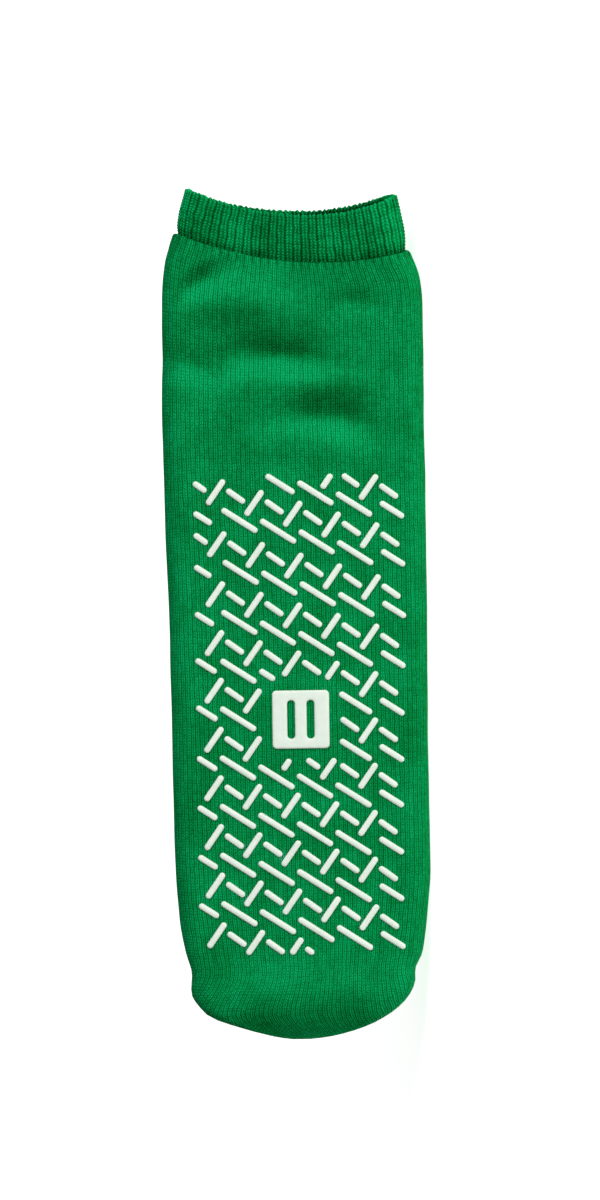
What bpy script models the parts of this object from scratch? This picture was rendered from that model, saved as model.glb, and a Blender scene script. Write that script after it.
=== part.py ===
"""Slipper sock, empty and unbent, lying on its side with its sole face turned to the front.

X runs along the sock, with the collar at +X and the toe at -X. The sole face looks along -Y and
leans back a little. The sole's edge and the side of the upper rest on the plane z = 0.

Places on the sock are given in three lengths: along, from the toe tip to the collar; across, up
the sole face from its floor edge to the fold at the top; and deep, from the sole face inwards.
"""
import math
from collections import namedtuple

import bmesh
import bpy
from mathutils import Vector

# Main sizes, in metres
LEG_LENGTH = 0.2734
CUFF_HEIGHT = 0.0168
BALL_WIDTH = 0.0910
INSTEP_DEPTH = 0.0460
TOP_FOLD_DEPTH = 0.0230
SOLE_LEAN = math.radians(11.0)
SOCK_LENGTH = LEG_LENGTH + CUFF_HEIGHT

# Knit walls and the gap kept between neighbours
KNIT_WALL = 0.0020
CUFF_WALL = 0.0028
FIT_GAP = 0.0003

# Fall of the collar's rim in the middle of the sole side. The back falls less by a share, and is
# lifted by a share of that fall towards the floor.
RIM_FALL = 0.0096
BACK_EASE = 0.19
BACK_LIFT = 0.34

# Roundings of the section: floor edge of the sole, fold beside the sole, fold and corner of the instep
SOLE_EDGE_RADIUS = 0.0070
SOLE_FOLD_RADIUS = 0.0080
INSTEP_FOLD_RADIUS = 0.0160
INSTEP_CORNER_RADIUS = 0.0150
FILLET_LIMIT = 0.98
SOLE_CROWN = 0.0010
INSTEP_CROWN = 0.0060
INSTEP_RIDGE_RADIUS = 0.1400

# Toe pocket
TOE_CAP = 0.0220
TOE_TIP_ACROSS = 0.514 * BALL_WIDTH
TOE_TIP_DEEP = 0.293 * INSTEP_DEPTH
TOE_SQUARENESS_TOP = 1.95
TOE_SQUARENESS_FLOOR = 1.95
TOE_SQUARENESS_DEEP = 2.0
CAP_TURNS = (0.16, 0.34, 0.52, 0.80)

# Linked seam across the instep side of the toe
SEAM_WIDTH = 0.0022
SEAM_HEIGHT = 0.0010
SEAM_AT_TOP = 0.0115
SEAM_AT_FLOOR = 0.0195
SEAM_SLOPE_SHARE = 0.6
SEAM_CREST_SHARE = 0.6
SEAM_END_SHARE = 0.35
SEAM_FIRST_STRETCH = "sole fold"
SEAM_END_STEP = 0.5

# Printed grip bars
BAR_WIDTH = 0.00214
BAR_HEIGHT = 0.0009
BAR_DRAFT = 0.00022
LEAST_BAR_AREA = 4.5e-6
BAR_END_TURNS = (-90.0, -35.0, 35.0, 90.0)
WEB_WIDTH = 0.0006
WEB_HEIGHT = 0.0003
WEB_REACH = 0.0050
WEB_BITE = 0.35 * BAR_WIDTH
CROSS_LENGTH = 0.0104
SHORT_LENGTH = 0.0077
LONG_LENGTH = 0.0144
EDGE_LONG_LENGTH = 0.0098
CROSS_ANGLE = math.radians(55.0)
SHORT_ANGLE = math.radians(-36.0)
LONG_ANGLE = math.radians(-33.0)
ROW_PITCH = 0.01659
COLUMN_PITCH = 0.01305
ROW_SLANT = 0.00385
SLANT_EASE = 0.00012
COLUMN_DRIFT = 0.00023
SHORT_STEP = (-0.00145, -0.00680)
LONG_STEP = (-0.00970, -0.00800)
EDGE_LONG_STEP = (-0.00780, -0.00790)
SLIP_FALL = 0.45

# Printed area, its first cross bar, and the clear window that it leaves round the size pad
PRINT_LENGTH = 0.1628
PRINT_WIDTH = 0.0714
PRINT_LOW = 0.0292
PRINT_HIGH = PRINT_LOW + PRINT_LENGTH
PRINT_MIDDLE = 0.489 * BALL_WIDTH
PRINT_FLOOR_EDGE = PRINT_MIDDLE - PRINT_WIDTH / 2.0
PRINT_TOP_EDGE = PRINT_MIDDLE + PRINT_WIDTH / 2.0
FIRST_CROSS_MARGIN = 0.0070
FIRST_CROSS_ALONG = PRINT_HIGH - 0.97 * FIRST_CROSS_MARGIN
FIRST_CROSS_ACROSS = PRINT_TOP_EDGE - FIRST_CROSS_MARGIN
WINDOW_LENGTH = 0.0272
WINDOW_WIDTH = 0.0268
PAD_ALONG = 0.1089
PAD_SHIFT = 0.0004
PAD_ACROSS = PRINT_MIDDLE + PAD_SHIFT
PAD_LENGTH = 0.0198
PAD_WIDTH = 0.0194
PAD_CORNER = 0.0014
SLOT_WIDTH = 0.0026
SLOT_LENGTH = 0.0130
SLOT_SPACING = 0.0066
SLOT_ROUNDING = 0.45 * SLOT_WIDTH
CORNER_STEPS = 3

# Mesh: how far apart points are taken for a direction, and what is joined or counts as flat
NUDGE = 0.0002
NUDGE_ROUND = 0.05
JOIN_REACH = 0.00002
FLAT_ANGLE = math.radians(1.0)
SHARP_ANGLE = math.radians(40.0)
RIM_TURNS = (0.25, 0.5, 0.75)

# Colours and roughness
GREEN_KNIT = ((0.002, 0.235, 0.055), 0.90)
GREEN_RIB = ((0.001, 0.165, 0.032), 0.92)
WHITE_GRIP = ((0.820, 0.840, 0.780), 0.45)

# A row for each section of the sock. All but the name are shares: along of LEG_LENGTH or of
# CUFF_HEIGHT, top and lift of BALL_WIDTH, depth of INSTEP_DEPTH, fold of TOP_FOLD_DEPTH, and
# crown of INSTEP_CROWN.
Section = namedtuple("Section", "name along top lift depth fold crown")
FOOT_AND_LEG = (
    Section("toe tip", 0.000, 0.820, 0.072, 0.58, 0.86, 0.40),
    Section("toe corner", 0.036, 0.950, 0.064, 0.60, 0.87, 0.42),
    Section("toe seam", 0.081, 0.912, 0.055, 0.61, 0.88, 0.45),
    Section("toes", 0.110, 0.936, 0.031, 0.66, 0.90, 0.50),
    Section("little toe", 0.154, 0.960, 0.012, 0.73, 0.93, 0.60),
    Section("ball behind the toes", 0.212, 0.970, 0.000, 0.80, 0.95, 0.70),
    Section("ball", 0.318, 0.974, 0.000, 0.88, 0.98, 0.85),
    Section("waist", 0.456, 0.978, 0.000, 0.96, 1.00, 0.97),
    Section("instep", 0.594, 0.986, 0.000, 1.00, 1.00, 1.00),
    Section("heel", 0.764, 0.997, 0.000, 0.97, 1.00, 0.90),
    Section("ankle", 0.860, 0.993, 0.000, 0.92, 1.00, 0.78),
    Section("leg", 0.918, 0.990, 0.000, 0.88, 1.00, 0.70),
    Section("gathers", 0.961, 0.979, 0.008, 0.83, 0.99, 0.60),
    Section("gather line", 1.000, 0.947, 0.044, 0.78, 0.97, 0.50),
)
CUFF = (
    Section("gather line", 0.000, 0.937, 0.050, 0.76, 0.96, 0.50),
    Section("mid cuff", 0.500, 0.920, 0.069, 0.74, 0.96, 0.48),
    Section("rim", 1.000, 0.893, 0.090, 0.73, 0.97, 0.45),
)

# How the courses of knit bow down near the collar: along as a share of SOCK_LENGTH, fall of
# RIM_FALL, and the lowest place and the spread across the sole of BALL_WIDTH
Bow = namedtuple("Bow", "along fall low spread")
BOWS = (
    Bow(0.72, 0.00, 0.379, 0.55),
    Bow(0.87, 0.62, 0.379, 0.55),
    Bow(0.94, 1.07, 0.379, 0.55),
    Bow(1.00, 1.00, 0.434, 0.46),
)

# The section's outline, from the floor edge of the sole round to the floor, with the number of
# mesh divisions of each stretch. Arcs and sides take turns.
Stretch = namedtuple("Stretch", "name steps")
OUTLINE = (
    Stretch("sole edge", 3),
    Stretch("sole", 8),
    Stretch("sole fold", 3),
    Stretch("crest", 1),
    Stretch("instep fold", 4),
    Stretch("upper instep", 1),
    Stretch("instep ridge", 4),
    Stretch("lower instep", 1),
    Stretch("instep corner", 3),
    Stretch("floor", 3),
)
AROUND = sum(stretch.steps for stretch in OUTLINE)

# The rows of bars, with their shifts off the even lattice where the knit stretched under the
# print: rise along the sock as a share of ROW_PITCH, and, as shares of COLUMN_PITCH, drift across
# it, extra slant a column, and slip of the first long bar past the edge. First is the column
# where a row starts. Crosses and longs are the highest columns with a cross and with a long bar.
Row = namedtuple("Row", "number rise drift slant slip first crosses longs")
ROWS = (
    Row(-1, 0.096, 0.000, 0.000, 0.000, 1, 4, 4),
    Row(0, 0.078, -0.031, 0.000, 0.184, -1, 4, 4),
    Row(1, 0.012, -0.061, 0.008, 0.230, -1, 4, 4),
    Row(2, -0.012, -0.023, 0.014, 0.123, -1, 4, 4),
    Row(3, -0.012, 0.000, 0.014, 0.031, -1, 4, 4),
    Row(4, 0.012, 0.008, 0.015, 0.000, -1, 4, 4),
    Row(5, 0.006, 0.015, 0.000, 0.000, -1, 4, 4),
    Row(6, 0.012, 0.015, 0.000, 0.000, -1, 4, 4),
    Row(7, 0.012, 0.008, -0.004, 0.000, -1, 4, 4),
    Row(8, 0.018, -0.023, 0.000, 0.000, -1, 4, 4),
    Row(9, 0.000, -0.061, 0.000, 0.000, -1, 2, -2),
)
LAST_EDGE_SHORT_ROW = 1
FIRST_COLUMN = -1
LAST_COLUMN = 4


def smooth_read(rows, field, along):
    """Value of one column at a share of the length, on a smooth curve with no overshoot."""
    spots = [row.along for row in rows]
    values = [getattr(row, field) for row in rows]
    last = len(rows) - 1
    if along <= spots[0]:
        return values[0]
    if along >= spots[last]:
        return values[last]
    rises = [(values[i + 1] - values[i]) / (spots[i + 1] - spots[i]) for i in range(last)]
    slopes = [rises[0]]
    for before, after in zip(rises, rises[1:]):
        flat = before * after <= 0.0
        slopes.append(0.0 if flat else 2.0 * before * after / (before + after))
    slopes.append(rises[-1])
    i = max(k for k in range(last) if spots[k] <= along)
    span = spots[i + 1] - spots[i]
    u = (along - spots[i]) / span
    start = values[i] * (1.0 + 2.0 * u) * (1.0 - u) ** 2 + slopes[i] * span * u * (1.0 - u) ** 2
    end = values[i + 1] * u * u * (3.0 - 2.0 * u) + slopes[i + 1] * span * u * u * (u - 1.0)
    return start + end


def cap_share(along, squareness):
    """How much of its full section the toe pocket has reached, from 0 at the tip to 1."""
    left = max(0.0, 1.0 - along / TOE_CAP)
    return (1.0 - left ** squareness) ** (1.0 / squareness)


def fillet(before, corner, after, radius):
    """Centre, start angle and sweep of the arc that rounds a corner of the section."""
    to_before = (before - corner).normalized()
    to_after = (after - corner).normalized()
    inside = to_before.angle(to_after)
    centre = corner + (to_before + to_after).normalized() * (radius / math.sin(inside / 2.0))
    start = corner + to_before * (radius / math.tan(inside / 2.0)) - centre
    end = corner + to_after * (radius / math.tan(inside / 2.0)) - centre
    return centre, math.atan2(start.y, start.x), start.angle(end)


def section_outline(rows, along):
    """The section's rounded corners, as arcs and radii in lengths across and deep."""
    share = along / LEG_LENGTH if rows is FOOT_AND_LEG else (along - LEG_LENGTH) / CUFF_HEIGHT
    top = smooth_read(rows, "top", share) * BALL_WIDTH
    floor_edge = smooth_read(rows, "lift", share) * BALL_WIDTH / math.cos(SOLE_LEAN)
    depth = smooth_read(rows, "depth", share) * INSTEP_DEPTH
    fold = smooth_read(rows, "fold", share) * TOP_FOLD_DEPTH
    crown = smooth_read(rows, "crown", share) * INSTEP_CROWN
    crest = Vector((top, fold))
    base = Vector((floor_edge + depth * math.tan(SOLE_LEAN), depth))
    outwards = Vector(((base - crest).y, -(base - crest).x)).normalized()
    ridge = (crest + base) / 2.0 + outwards * crown
    corners = [Vector((floor_edge, 0.0)), Vector((top, 0.0)), crest, ridge, base]
    radii = [SOLE_EDGE_RADIUS, SOLE_FOLD_RADIUS, INSTEP_FOLD_RADIUS, INSTEP_RIDGE_RADIUS,
             INSTEP_CORNER_RADIUS]
    count = len(corners)
    reaches = []
    for i, radius in enumerate(radii):
        before, after = corners[i - 1] - corners[i], corners[(i + 1) % count] - corners[i]
        reaches.append(radius / math.tan(before.angle(after) / 2.0))
    fits = [(corners[i] - corners[i - 1]).length * FILLET_LIMIT / (reaches[i] + reaches[i - 1])
            for i in range(count)]
    radii = [radii[i] * min(1.0, fits[i], fits[(i + 1) % count]) for i in range(count)]
    arcs = [fillet(corners[i - 1], corners[i], corners[(i + 1) % count], radii[i])
            for i in range(count)]
    return arcs, radii


def arc_point(arc, radius, fraction):
    """Point at a fraction of an arc's sweep."""
    centre, start, sweep = arc
    angle = start + sweep * fraction
    return centre + Vector((math.cos(angle), math.sin(angle))) * radius


def outline_point(arcs, radii, place):
    """Point (across, deep) of the section at a place counted in mesh steps round the outline."""
    place %= AROUND
    number = 0
    while place >= OUTLINE[number].steps:
        place -= OUTLINE[number].steps
        number += 1
    fraction = place / OUTLINE[number].steps
    corner = number // 2
    if number % 2 == 0:
        return arc_point(arcs[corner], radii[corner], fraction)
    following = (corner + 1) % len(arcs)
    start = arc_point(arcs[corner], radii[corner], 1.0)
    end = arc_point(arcs[following], radii[following], 0.0)
    point = start + (end - start) * fraction
    if OUTLINE[number].name == "sole":
        point.y -= SOLE_CROWN * math.sin(math.pi * fraction) ** 2
    return point


def course_bow(along, across, deep):
    """How far a course of knit lies below its highest place, near the collar."""
    share = along / SOCK_LENGTH
    fall = smooth_read(BOWS, "fall", share) * RIM_FALL
    low = smooth_read(BOWS, "low", share) * BALL_WIDTH
    spread = smooth_read(BOWS, "spread", share) * BALL_WIDTH
    back = deep / INSTEP_DEPTH
    dip = (1.0 - ((across - low) / spread) ** 2) * (1.0 - BACK_EASE * back)
    return fall * (dip - BACK_LIFT * back * (1.0 - across / BALL_WIDTH) ** 2)


def to_world(along, across, deep):
    """From lengths on the sock to X, Y and Z."""
    y = across * math.sin(SOLE_LEAN) + deep * math.cos(SOLE_LEAN)
    z = across * math.cos(SOLE_LEAN) - deep * math.sin(SOLE_LEAN)
    return Vector((along - SOCK_LENGTH / 2.0, y, z))


def skin_point(rows, along, place):
    """Point of the sock's outer face."""
    arcs, radii = section_outline(rows, along)
    point = outline_point(arcs, radii, place)
    squareness = TOE_SQUARENESS_TOP if point.x > TOE_TIP_ACROSS else TOE_SQUARENESS_FLOOR
    across = TOE_TIP_ACROSS + (point.x - TOE_TIP_ACROSS) * cap_share(along, squareness)
    deep = TOE_TIP_DEEP + (point.y - TOE_TIP_DEEP) * cap_share(along, TOE_SQUARENESS_DEEP)
    return to_world(along - course_bow(along, across, deep), across, deep)


def skin_normal(rows, along, place):
    """Outward direction of the sock's outer face."""
    low = max(along - NUDGE, NUDGE / 4.0)
    before, after = place - NUDGE_ROUND, place + NUDGE_ROUND
    round_way = skin_point(rows, along, after) - skin_point(rows, along, before)
    long_way = skin_point(rows, along + NUDGE, place) - skin_point(rows, low, place)
    return long_way.cross(round_way).normalized()


def sole_point(along, across, height):
    """Point above the sole face, at a height measured out from the knit."""
    arcs, radii = section_outline(FOOT_AND_LEG, along)
    low = arc_point(arcs[0], radii[0], 1.0).x
    high = arc_point(arcs[1], radii[1], 0.0).x
    fraction = min(max((across - low) / (high - low), 0.0), 1.0)
    rise = SOLE_CROWN * math.sin(math.pi * fraction) ** 2
    tilt = SOLE_CROWN * math.pi / (high - low) * math.sin(2.0 * math.pi * fraction)
    return to_world(along, across - tilt * height, -rise - height)


def add_object(name, mesh, material):
    """Put a finished mesh in the scene, shaded smooth but for its sharp edges."""
    mesh.shade_smooth()
    mesh.set_sharp_from_angle(angle=SHARP_ANGLE)
    mesh.materials.append(material)
    item = bpy.data.objects.new(name, mesh)
    bpy.context.collection.objects.link(item)
    return item


def make_material(name, colour, roughness):
    """A plain surface."""
    material = bpy.data.materials.new(name)
    material.use_nodes = True
    surface = material.node_tree.nodes["Principled BSDF"]
    surface.inputs["Base Color"].default_value = (*colour, 1.0)
    surface.inputs["Roughness"].default_value = roughness
    surface.inputs["Metallic"].default_value = 0.0
    return material


def close_rings(name, rings, tip_outside=None, tip_inside=None):
    """A tube from closed rings of points, run out along one face and back along the other."""
    mesh_build = bmesh.new()
    loops = [[mesh_build.verts.new(point) for point in ring] for ring in rings]
    pairs = list(zip(loops, loops[1:]))
    if tip_outside is None:
        pairs.append((loops[-1], loops[0]))
    for first, second in pairs:
        for i in range(len(first)):
            j = (i + 1) % len(first)
            mesh_build.faces.new((first[i], first[j], second[j], second[i]))
    for tip, loop in ((tip_outside, loops[0]), (tip_inside, loops[-1])):
        if tip is None:
            continue
        pole = mesh_build.verts.new(tip)
        for i in range(len(loop)):
            mesh_build.faces.new((pole, loop[i], loop[(i + 1) % len(loop)]))
    bmesh.ops.recalc_face_normals(mesh_build, faces=mesh_build.faces)
    bmesh.ops.triangulate(mesh_build, faces=mesh_build.faces)
    mesh = bpy.data.meshes.new(name)
    mesh_build.to_mesh(mesh)
    mesh_build.free()
    return mesh


def on_course(point, along):
    """A point slid along the sock onto the course of knit that starts at a length from the toe."""
    across = point.y * math.sin(SOLE_LEAN) + point.z * math.cos(SOLE_LEAN)
    deep = point.y * math.cos(SOLE_LEAN) - point.z * math.sin(SOLE_LEAN)
    return to_world(along - course_bow(along, across, deep), across, deep)


def skin_ring(rows, along, inset, on_one_course=False):
    """A ring of points on the sock's outer face, or set in from it by a wall."""
    ring = []
    for place in range(AROUND):
        point = skin_point(rows, along, place)
        inwards = -skin_normal(rows, along, place)
        if on_one_course:
            inwards.x = 0.0
            point = on_course(point + inwards.normalized() * inset, along)
        else:
            point += inwards * inset
        ring.append(point)
    return ring


def make_upper_and_sole(material):
    """The foot and leg, knitted whole as one hollow tube that is closed at the toe."""
    alongs = [TOE_CAP * (1.0 - math.cos(turn * math.pi / 2.0)) for turn in CAP_TURNS]
    alongs += [section.along * LEG_LENGTH for section in FOOT_AND_LEG[1:-1]]
    for first, second in zip(FOOT_AND_LEG[3:-3], FOOT_AND_LEG[4:-2]):
        alongs.append((first.along + second.along) * LEG_LENGTH / 2.0)
    alongs.append(LEG_LENGTH - FIT_GAP)
    alongs.sort()
    outside = [skin_ring(FOOT_AND_LEG, along, 0.0) for along in alongs]
    inside = [skin_ring(FOOT_AND_LEG, along, KNIT_WALL, along == alongs[-1]) for along in alongs]
    tip = to_world(0.0, TOE_TIP_ACROSS, TOE_TIP_DEEP)
    tip_inside = to_world(KNIT_WALL, TOE_TIP_ACROSS, TOE_TIP_DEEP)
    mesh = close_rings("knit_upper_and_sole", outside + inside[::-1], tip, tip_inside)
    return add_object("knit_upper_and_sole", mesh, material)


def make_cuff(material):
    """The ribbed cuff, a thicker band with a rounded rim, on the gathered end of the leg."""
    start = LEG_LENGTH
    lip = SOCK_LENGTH - CUFF_WALL / 2.0
    middle = (start + lip) / 2.0
    rings = [skin_ring(CUFF, along, 0.0) for along in (start, middle, lip)]
    for turn in RIM_TURNS:
        inset = CUFF_WALL / 2.0 * (1.0 - math.cos(turn * math.pi))
        rise = Vector((CUFF_WALL / 2.0 * math.sin(turn * math.pi), 0.0, 0.0))
        rings.append([point + rise for point in skin_ring(CUFF, lip, inset, True)])
    rings += [skin_ring(CUFF, along, CUFF_WALL, along != middle) for along in (lip, middle, start)]
    mesh = close_rings("ribbed_cuff", rings)
    return add_object("ribbed_cuff", mesh, material)


def make_toe_seam(material):
    """The raised linked seam, from fold to floor edge over the instep side of the toe."""
    names = [stretch.name for stretch in OUTLINE]
    before_crest = OUTLINE[:names.index(SEAM_FIRST_STRETCH) + 1]
    first = sum(stretch.steps for stretch in before_crest) - SEAM_END_STEP
    last = AROUND + SEAM_END_STEP
    steps = int(last - first) * 2
    half = SEAM_WIDTH / 2.0
    spine = []
    for step in range(steps + 1):
        share = step / steps
        place = first + (last - first) * share
        ease = math.sin(min(1.0, share / SEAM_SLOPE_SHARE) * math.pi / 2.0)
        along = SEAM_AT_TOP + (SEAM_AT_FLOOR - SEAM_AT_TOP) * ease
        spine.append((skin_point(FOOT_AND_LEG, along, place), skin_normal(FOOT_AND_LEG, along, place)))
    mesh_build = bmesh.new()
    rings = []
    for i, (point, out) in enumerate(spine):
        ahead = spine[min(i + 1, steps)][0] - spine[max(i - 1, 0)][0]
        side = out.cross(ahead).normalized()
        swell = math.sqrt(math.sin(math.pi * i / steps))
        height = SEAM_HEIGHT * (SEAM_END_SHARE + (1.0 - SEAM_END_SHARE) * swell)
        crest = half * SEAM_CREST_SHARE
        profile = ((-half, 0.0), (-crest, height), (crest, height), (half, 0.0))
        rings.append([mesh_build.verts.new(point + side * s + out * (FIT_GAP + h)) for s, h in profile])
    for before, after in zip(rings, rings[1:]):
        for i in range(4):
            j = (i + 1) % 4
            mesh_build.faces.new((before[i], before[j], after[j], after[i]))
    mesh_build.faces.new(rings[0])
    mesh_build.faces.new(rings[-1][::-1])
    bmesh.ops.recalc_face_normals(mesh_build, faces=mesh_build.faces)
    bmesh.ops.triangulate(mesh_build, faces=mesh_build.faces)
    mesh = bpy.data.meshes.new("toe_seam")
    mesh_build.to_mesh(mesh)
    mesh_build.free()
    return add_object("toe_seam", mesh, material)


def bar_ends(centre, length, angle):
    """The two end centres of a bar. The angle rises towards the collar and the floor edge."""
    half = (length - BAR_WIDTH) / 2.0
    rise = math.sin(angle) * half
    drop = math.cos(angle) * half
    along, across = centre
    return (along - rise, across + drop), (along + rise, across - drop)


def clip_polygon(points, axis, limit, keep_above):
    """Cut a flat outline along a straight line across or along the sole."""
    sign = 1.0 if keep_above else -1.0
    kept = []
    for i, point in enumerate(points):
        before = points[i - 1]
        inside = (point[axis] - limit) * sign
        before_inside = (before[axis] - limit) * sign
        if inside * before_inside < 0.0:
            share = before_inside / (before_inside - inside)
            kept.append(tuple(b + (p - b) * share for p, b in zip(point, before)))
        if inside >= 0.0:
            kept.append(point)
    return kept


def bar_outline(ends, width):
    """Flat outline of a round-ended bar, as points (along, across)."""
    (along, across), (far_along, far_across) = ends
    heading = math.atan2(far_across - across, far_along - along)
    points = []
    for centre, turn in (((far_along, far_across), 0.0), ((along, across), math.pi)):
        for end_turn in BAR_END_TURNS:
            angle = heading + turn + math.radians(end_turn)
            points.append((centre[0] + math.cos(angle) * width / 2.0,
                           centre[1] + math.sin(angle) * width / 2.0))
    return points


def print_clip(points):
    """Keep what lies on the printed area and off the clear window."""
    for axis, limit, above in ((0, PRINT_LOW, True), (0, PRINT_HIGH, False),
                               (1, PRINT_FLOOR_EDGE, True), (1, PRINT_TOP_EDGE, False)):
        points = clip_polygon(points, axis, limit, above)
    middle = (sum(p[0] for p in points) / max(len(points), 1),
              sum(p[1] for p in points) / max(len(points), 1))
    off_along = (middle[0] - PAD_ALONG) / WINDOW_LENGTH
    off_across = (middle[1] - PAD_ACROSS) / WINDOW_WIDTH
    if abs(off_along) >= abs(off_across):
        above = off_along > 0.0
        edge = PAD_ALONG + (WINDOW_LENGTH if above else -WINDOW_LENGTH) / 2.0
        axis, other, other_middle, reach = 0, 1, PAD_ACROSS, WINDOW_WIDTH / 2.0
    else:
        above = off_across > 0.0
        edge = PAD_ACROSS + (WINDOW_WIDTH if above else -WINDOW_WIDTH) / 2.0
        axis, other, other_middle, reach = 1, 0, PAD_ALONG, WINDOW_LENGTH / 2.0
    near = any(abs(p[other] - other_middle) < reach for p in points)
    return clip_polygon(points, axis, edge, above) if near else points


def flat_area(points):
    """Area of a flat outline."""
    return abs(sum(points[i - 1][0] * p[1] - p[0] * points[i - 1][1]
                   for i, p in enumerate(points))) / 2.0


def row_bars(row):
    """Outlines of the bars of one diagonal row."""
    bars = []
    slant = ROW_SLANT - SLANT_EASE * row.number + row.slant * COLUMN_PITCH
    for column in range(row.first, LAST_COLUMN + 1):
        along = FIRST_CROSS_ALONG - ROW_PITCH * (row.number - row.rise) - slant * column
        across = FIRST_CROSS_ACROSS + COLUMN_DRIFT * row.number - COLUMN_PITCH * (column - row.drift)
        first = column == FIRST_COLUMN
        last = column == LAST_COLUMN
        pieces = []
        if column <= row.crosses:
            pieces.append(((0.0, 0.0), CROSS_LENGTH, CROSS_ANGLE))
            if not first or row.number <= LAST_EDGE_SHORT_ROW:
                pieces.append((SHORT_STEP, SHORT_LENGTH, SHORT_ANGLE))
        if column <= row.longs:
            slip = row.slip * COLUMN_PITCH if first else 0.0
            slipped = (LONG_STEP[0] - slip * SLIP_FALL, LONG_STEP[1] + slip)
            step = EDGE_LONG_STEP if last else slipped
            pieces.append((step, EDGE_LONG_LENGTH if last else LONG_LENGTH, LONG_ANGLE))
        for step, length, angle in pieces:
            ends = bar_ends((along + step[0], across + step[1]), length, angle)
            outline = print_clip(bar_outline(ends, BAR_WIDTH))
            if len(outline) > 2 and flat_area(outline) > LEAST_BAR_AREA:
                bars.append(outline)
    return bars


def nearest_link(first, second):
    """Closest pair of points between two outlines, and how far apart they are."""
    best = None
    for here, there in ((first, second), (second, first)):
        for i, end in enumerate(there):
            start = there[i - 1]
            run = (end[0] - start[0], end[1] - start[1])
            size = run[0] ** 2 + run[1] ** 2
            for point in here:
                share = ((point[0] - start[0]) * run[0] + (point[1] - start[1]) * run[1]) / size
                share = min(max(share, 0.0), 1.0)
                spot = (start[0] + run[0] * share, start[1] + run[1] * share)
                gap = math.hypot(point[0] - spot[0], point[1] - spot[1])
                if best is None or gap < best[0]:
                    best = (gap, point, spot)
    return best


def link_bars(bars):
    """Groups of bars joined by the shortest webs, as (members, webs) pairs."""
    links = []
    for i in range(len(bars)):
        for j in range(i + 1, len(bars)):
            gap, start, end = nearest_link(bars[i], bars[j])
            if gap < WEB_REACH:
                links.append((gap, i, j, start, end))
    group = list(range(len(bars)))
    webs = []
    for gap, i, j, start, end in sorted(links):
        if group[i] != group[j]:
            joined, kept = group[j], group[i]
            group = [kept if g == joined else g for g in group]
            webs.append((i, start, end))
    groups = []
    for name in sorted(set(group)):
        members = [bars[i] for i in range(len(bars)) if group[i] == name]
        groups.append((members, [(s, e) for i, s, e in webs if group[i] == name]))
    return groups


def prism(outline, height, draft, foot=0.0):
    """A flat-topped block on an outline, its sides drawn in by a draft."""
    middle = (sum(p[0] for p in outline) / len(outline), sum(p[1] for p in outline) / len(outline))
    mesh_build = bmesh.new()
    bottom = [mesh_build.verts.new((p[0], p[1], foot)) for p in outline]
    top = []
    for point in outline:
        to_middle = (middle[0] - point[0], middle[1] - point[1])
        reach = math.hypot(*to_middle)
        share = min(draft / reach, 0.5)
        top.append(mesh_build.verts.new((point[0] + to_middle[0] * share,
                                         point[1] + to_middle[1] * share, height)))
    mesh_build.faces.new(bottom[::-1])
    mesh_build.faces.new(top)
    for i in range(len(outline)):
        mesh_build.faces.new((bottom[i - 1], bottom[i], top[i], top[i - 1]))
    bmesh.ops.recalc_face_normals(mesh_build, faces=mesh_build.faces)
    mesh = bpy.data.meshes.new("block")
    mesh_build.to_mesh(mesh)
    mesh_build.free()
    return bpy.data.objects.new("block", mesh)


def web_outline(start, end):
    """Outline of a low web that runs into the bars at both its ends."""
    run = (end[0] - start[0], end[1] - start[1])
    size = math.hypot(*run)
    ahead = (run[0] / size, run[1] / size)
    half = WEB_WIDTH / 2.0
    begin = (start[0] - ahead[0] * WEB_BITE, start[1] - ahead[1] * WEB_BITE)
    finish = (end[0] + ahead[0] * WEB_BITE, end[1] + ahead[1] * WEB_BITE)
    return [(begin[0] - ahead[1] * half, begin[1] + ahead[0] * half),
            (begin[0] + ahead[1] * half, begin[1] - ahead[0] * half),
            (finish[0] + ahead[1] * half, finish[1] - ahead[0] * half),
            (finish[0] - ahead[1] * half, finish[1] + ahead[0] * half)]


def united(blocks, cutters=()):
    """One flat mesh from overlapping blocks, less any cutters."""
    base = blocks[0]
    helpers = []
    for operation, items in (("UNION", blocks[1:]), ("DIFFERENCE", cutters)):
        if not items:
            continue
        collection = bpy.data.collections.new("helpers")
        bpy.context.scene.collection.children.link(collection)
        for item in items:
            collection.objects.link(item)
        change = base.modifiers.new(operation, "BOOLEAN")
        change.operation = operation
        change.operand_type = "COLLECTION"
        change.collection = collection
        change.solver = "EXACT"
        change.use_self = True
        helpers.append(collection)
    bpy.context.collection.objects.link(base)
    bpy.context.view_layer.update()
    finished = base.evaluated_get(bpy.context.evaluated_depsgraph_get())
    mesh = bpy.data.meshes.new_from_object(finished)
    for item in [*blocks, *cutters]:
        bpy.data.objects.remove(item, do_unlink=True)
    for collection in helpers:
        bpy.data.collections.remove(collection)
    return mesh


def lay_on_sole(mesh):
    """Bend a flat mesh onto the sole face, a fit's gap off the knit."""
    mesh_build = bmesh.new()
    mesh_build.from_mesh(mesh)
    bmesh.ops.remove_doubles(mesh_build, verts=mesh_build.verts, dist=JOIN_REACH)
    bmesh.ops.dissolve_limit(mesh_build, angle_limit=FLAT_ANGLE,
                             verts=mesh_build.verts, edges=mesh_build.edges)
    bmesh.ops.triangulate(mesh_build, faces=mesh_build.faces)
    for vert in mesh_build.verts:
        vert.co = sole_point(vert.co.x, vert.co.y, vert.co.z + FIT_GAP)
    bmesh.ops.recalc_face_normals(mesh_build, faces=mesh_build.faces)
    mesh_build.to_mesh(mesh)
    mesh_build.free()
    return mesh


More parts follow.
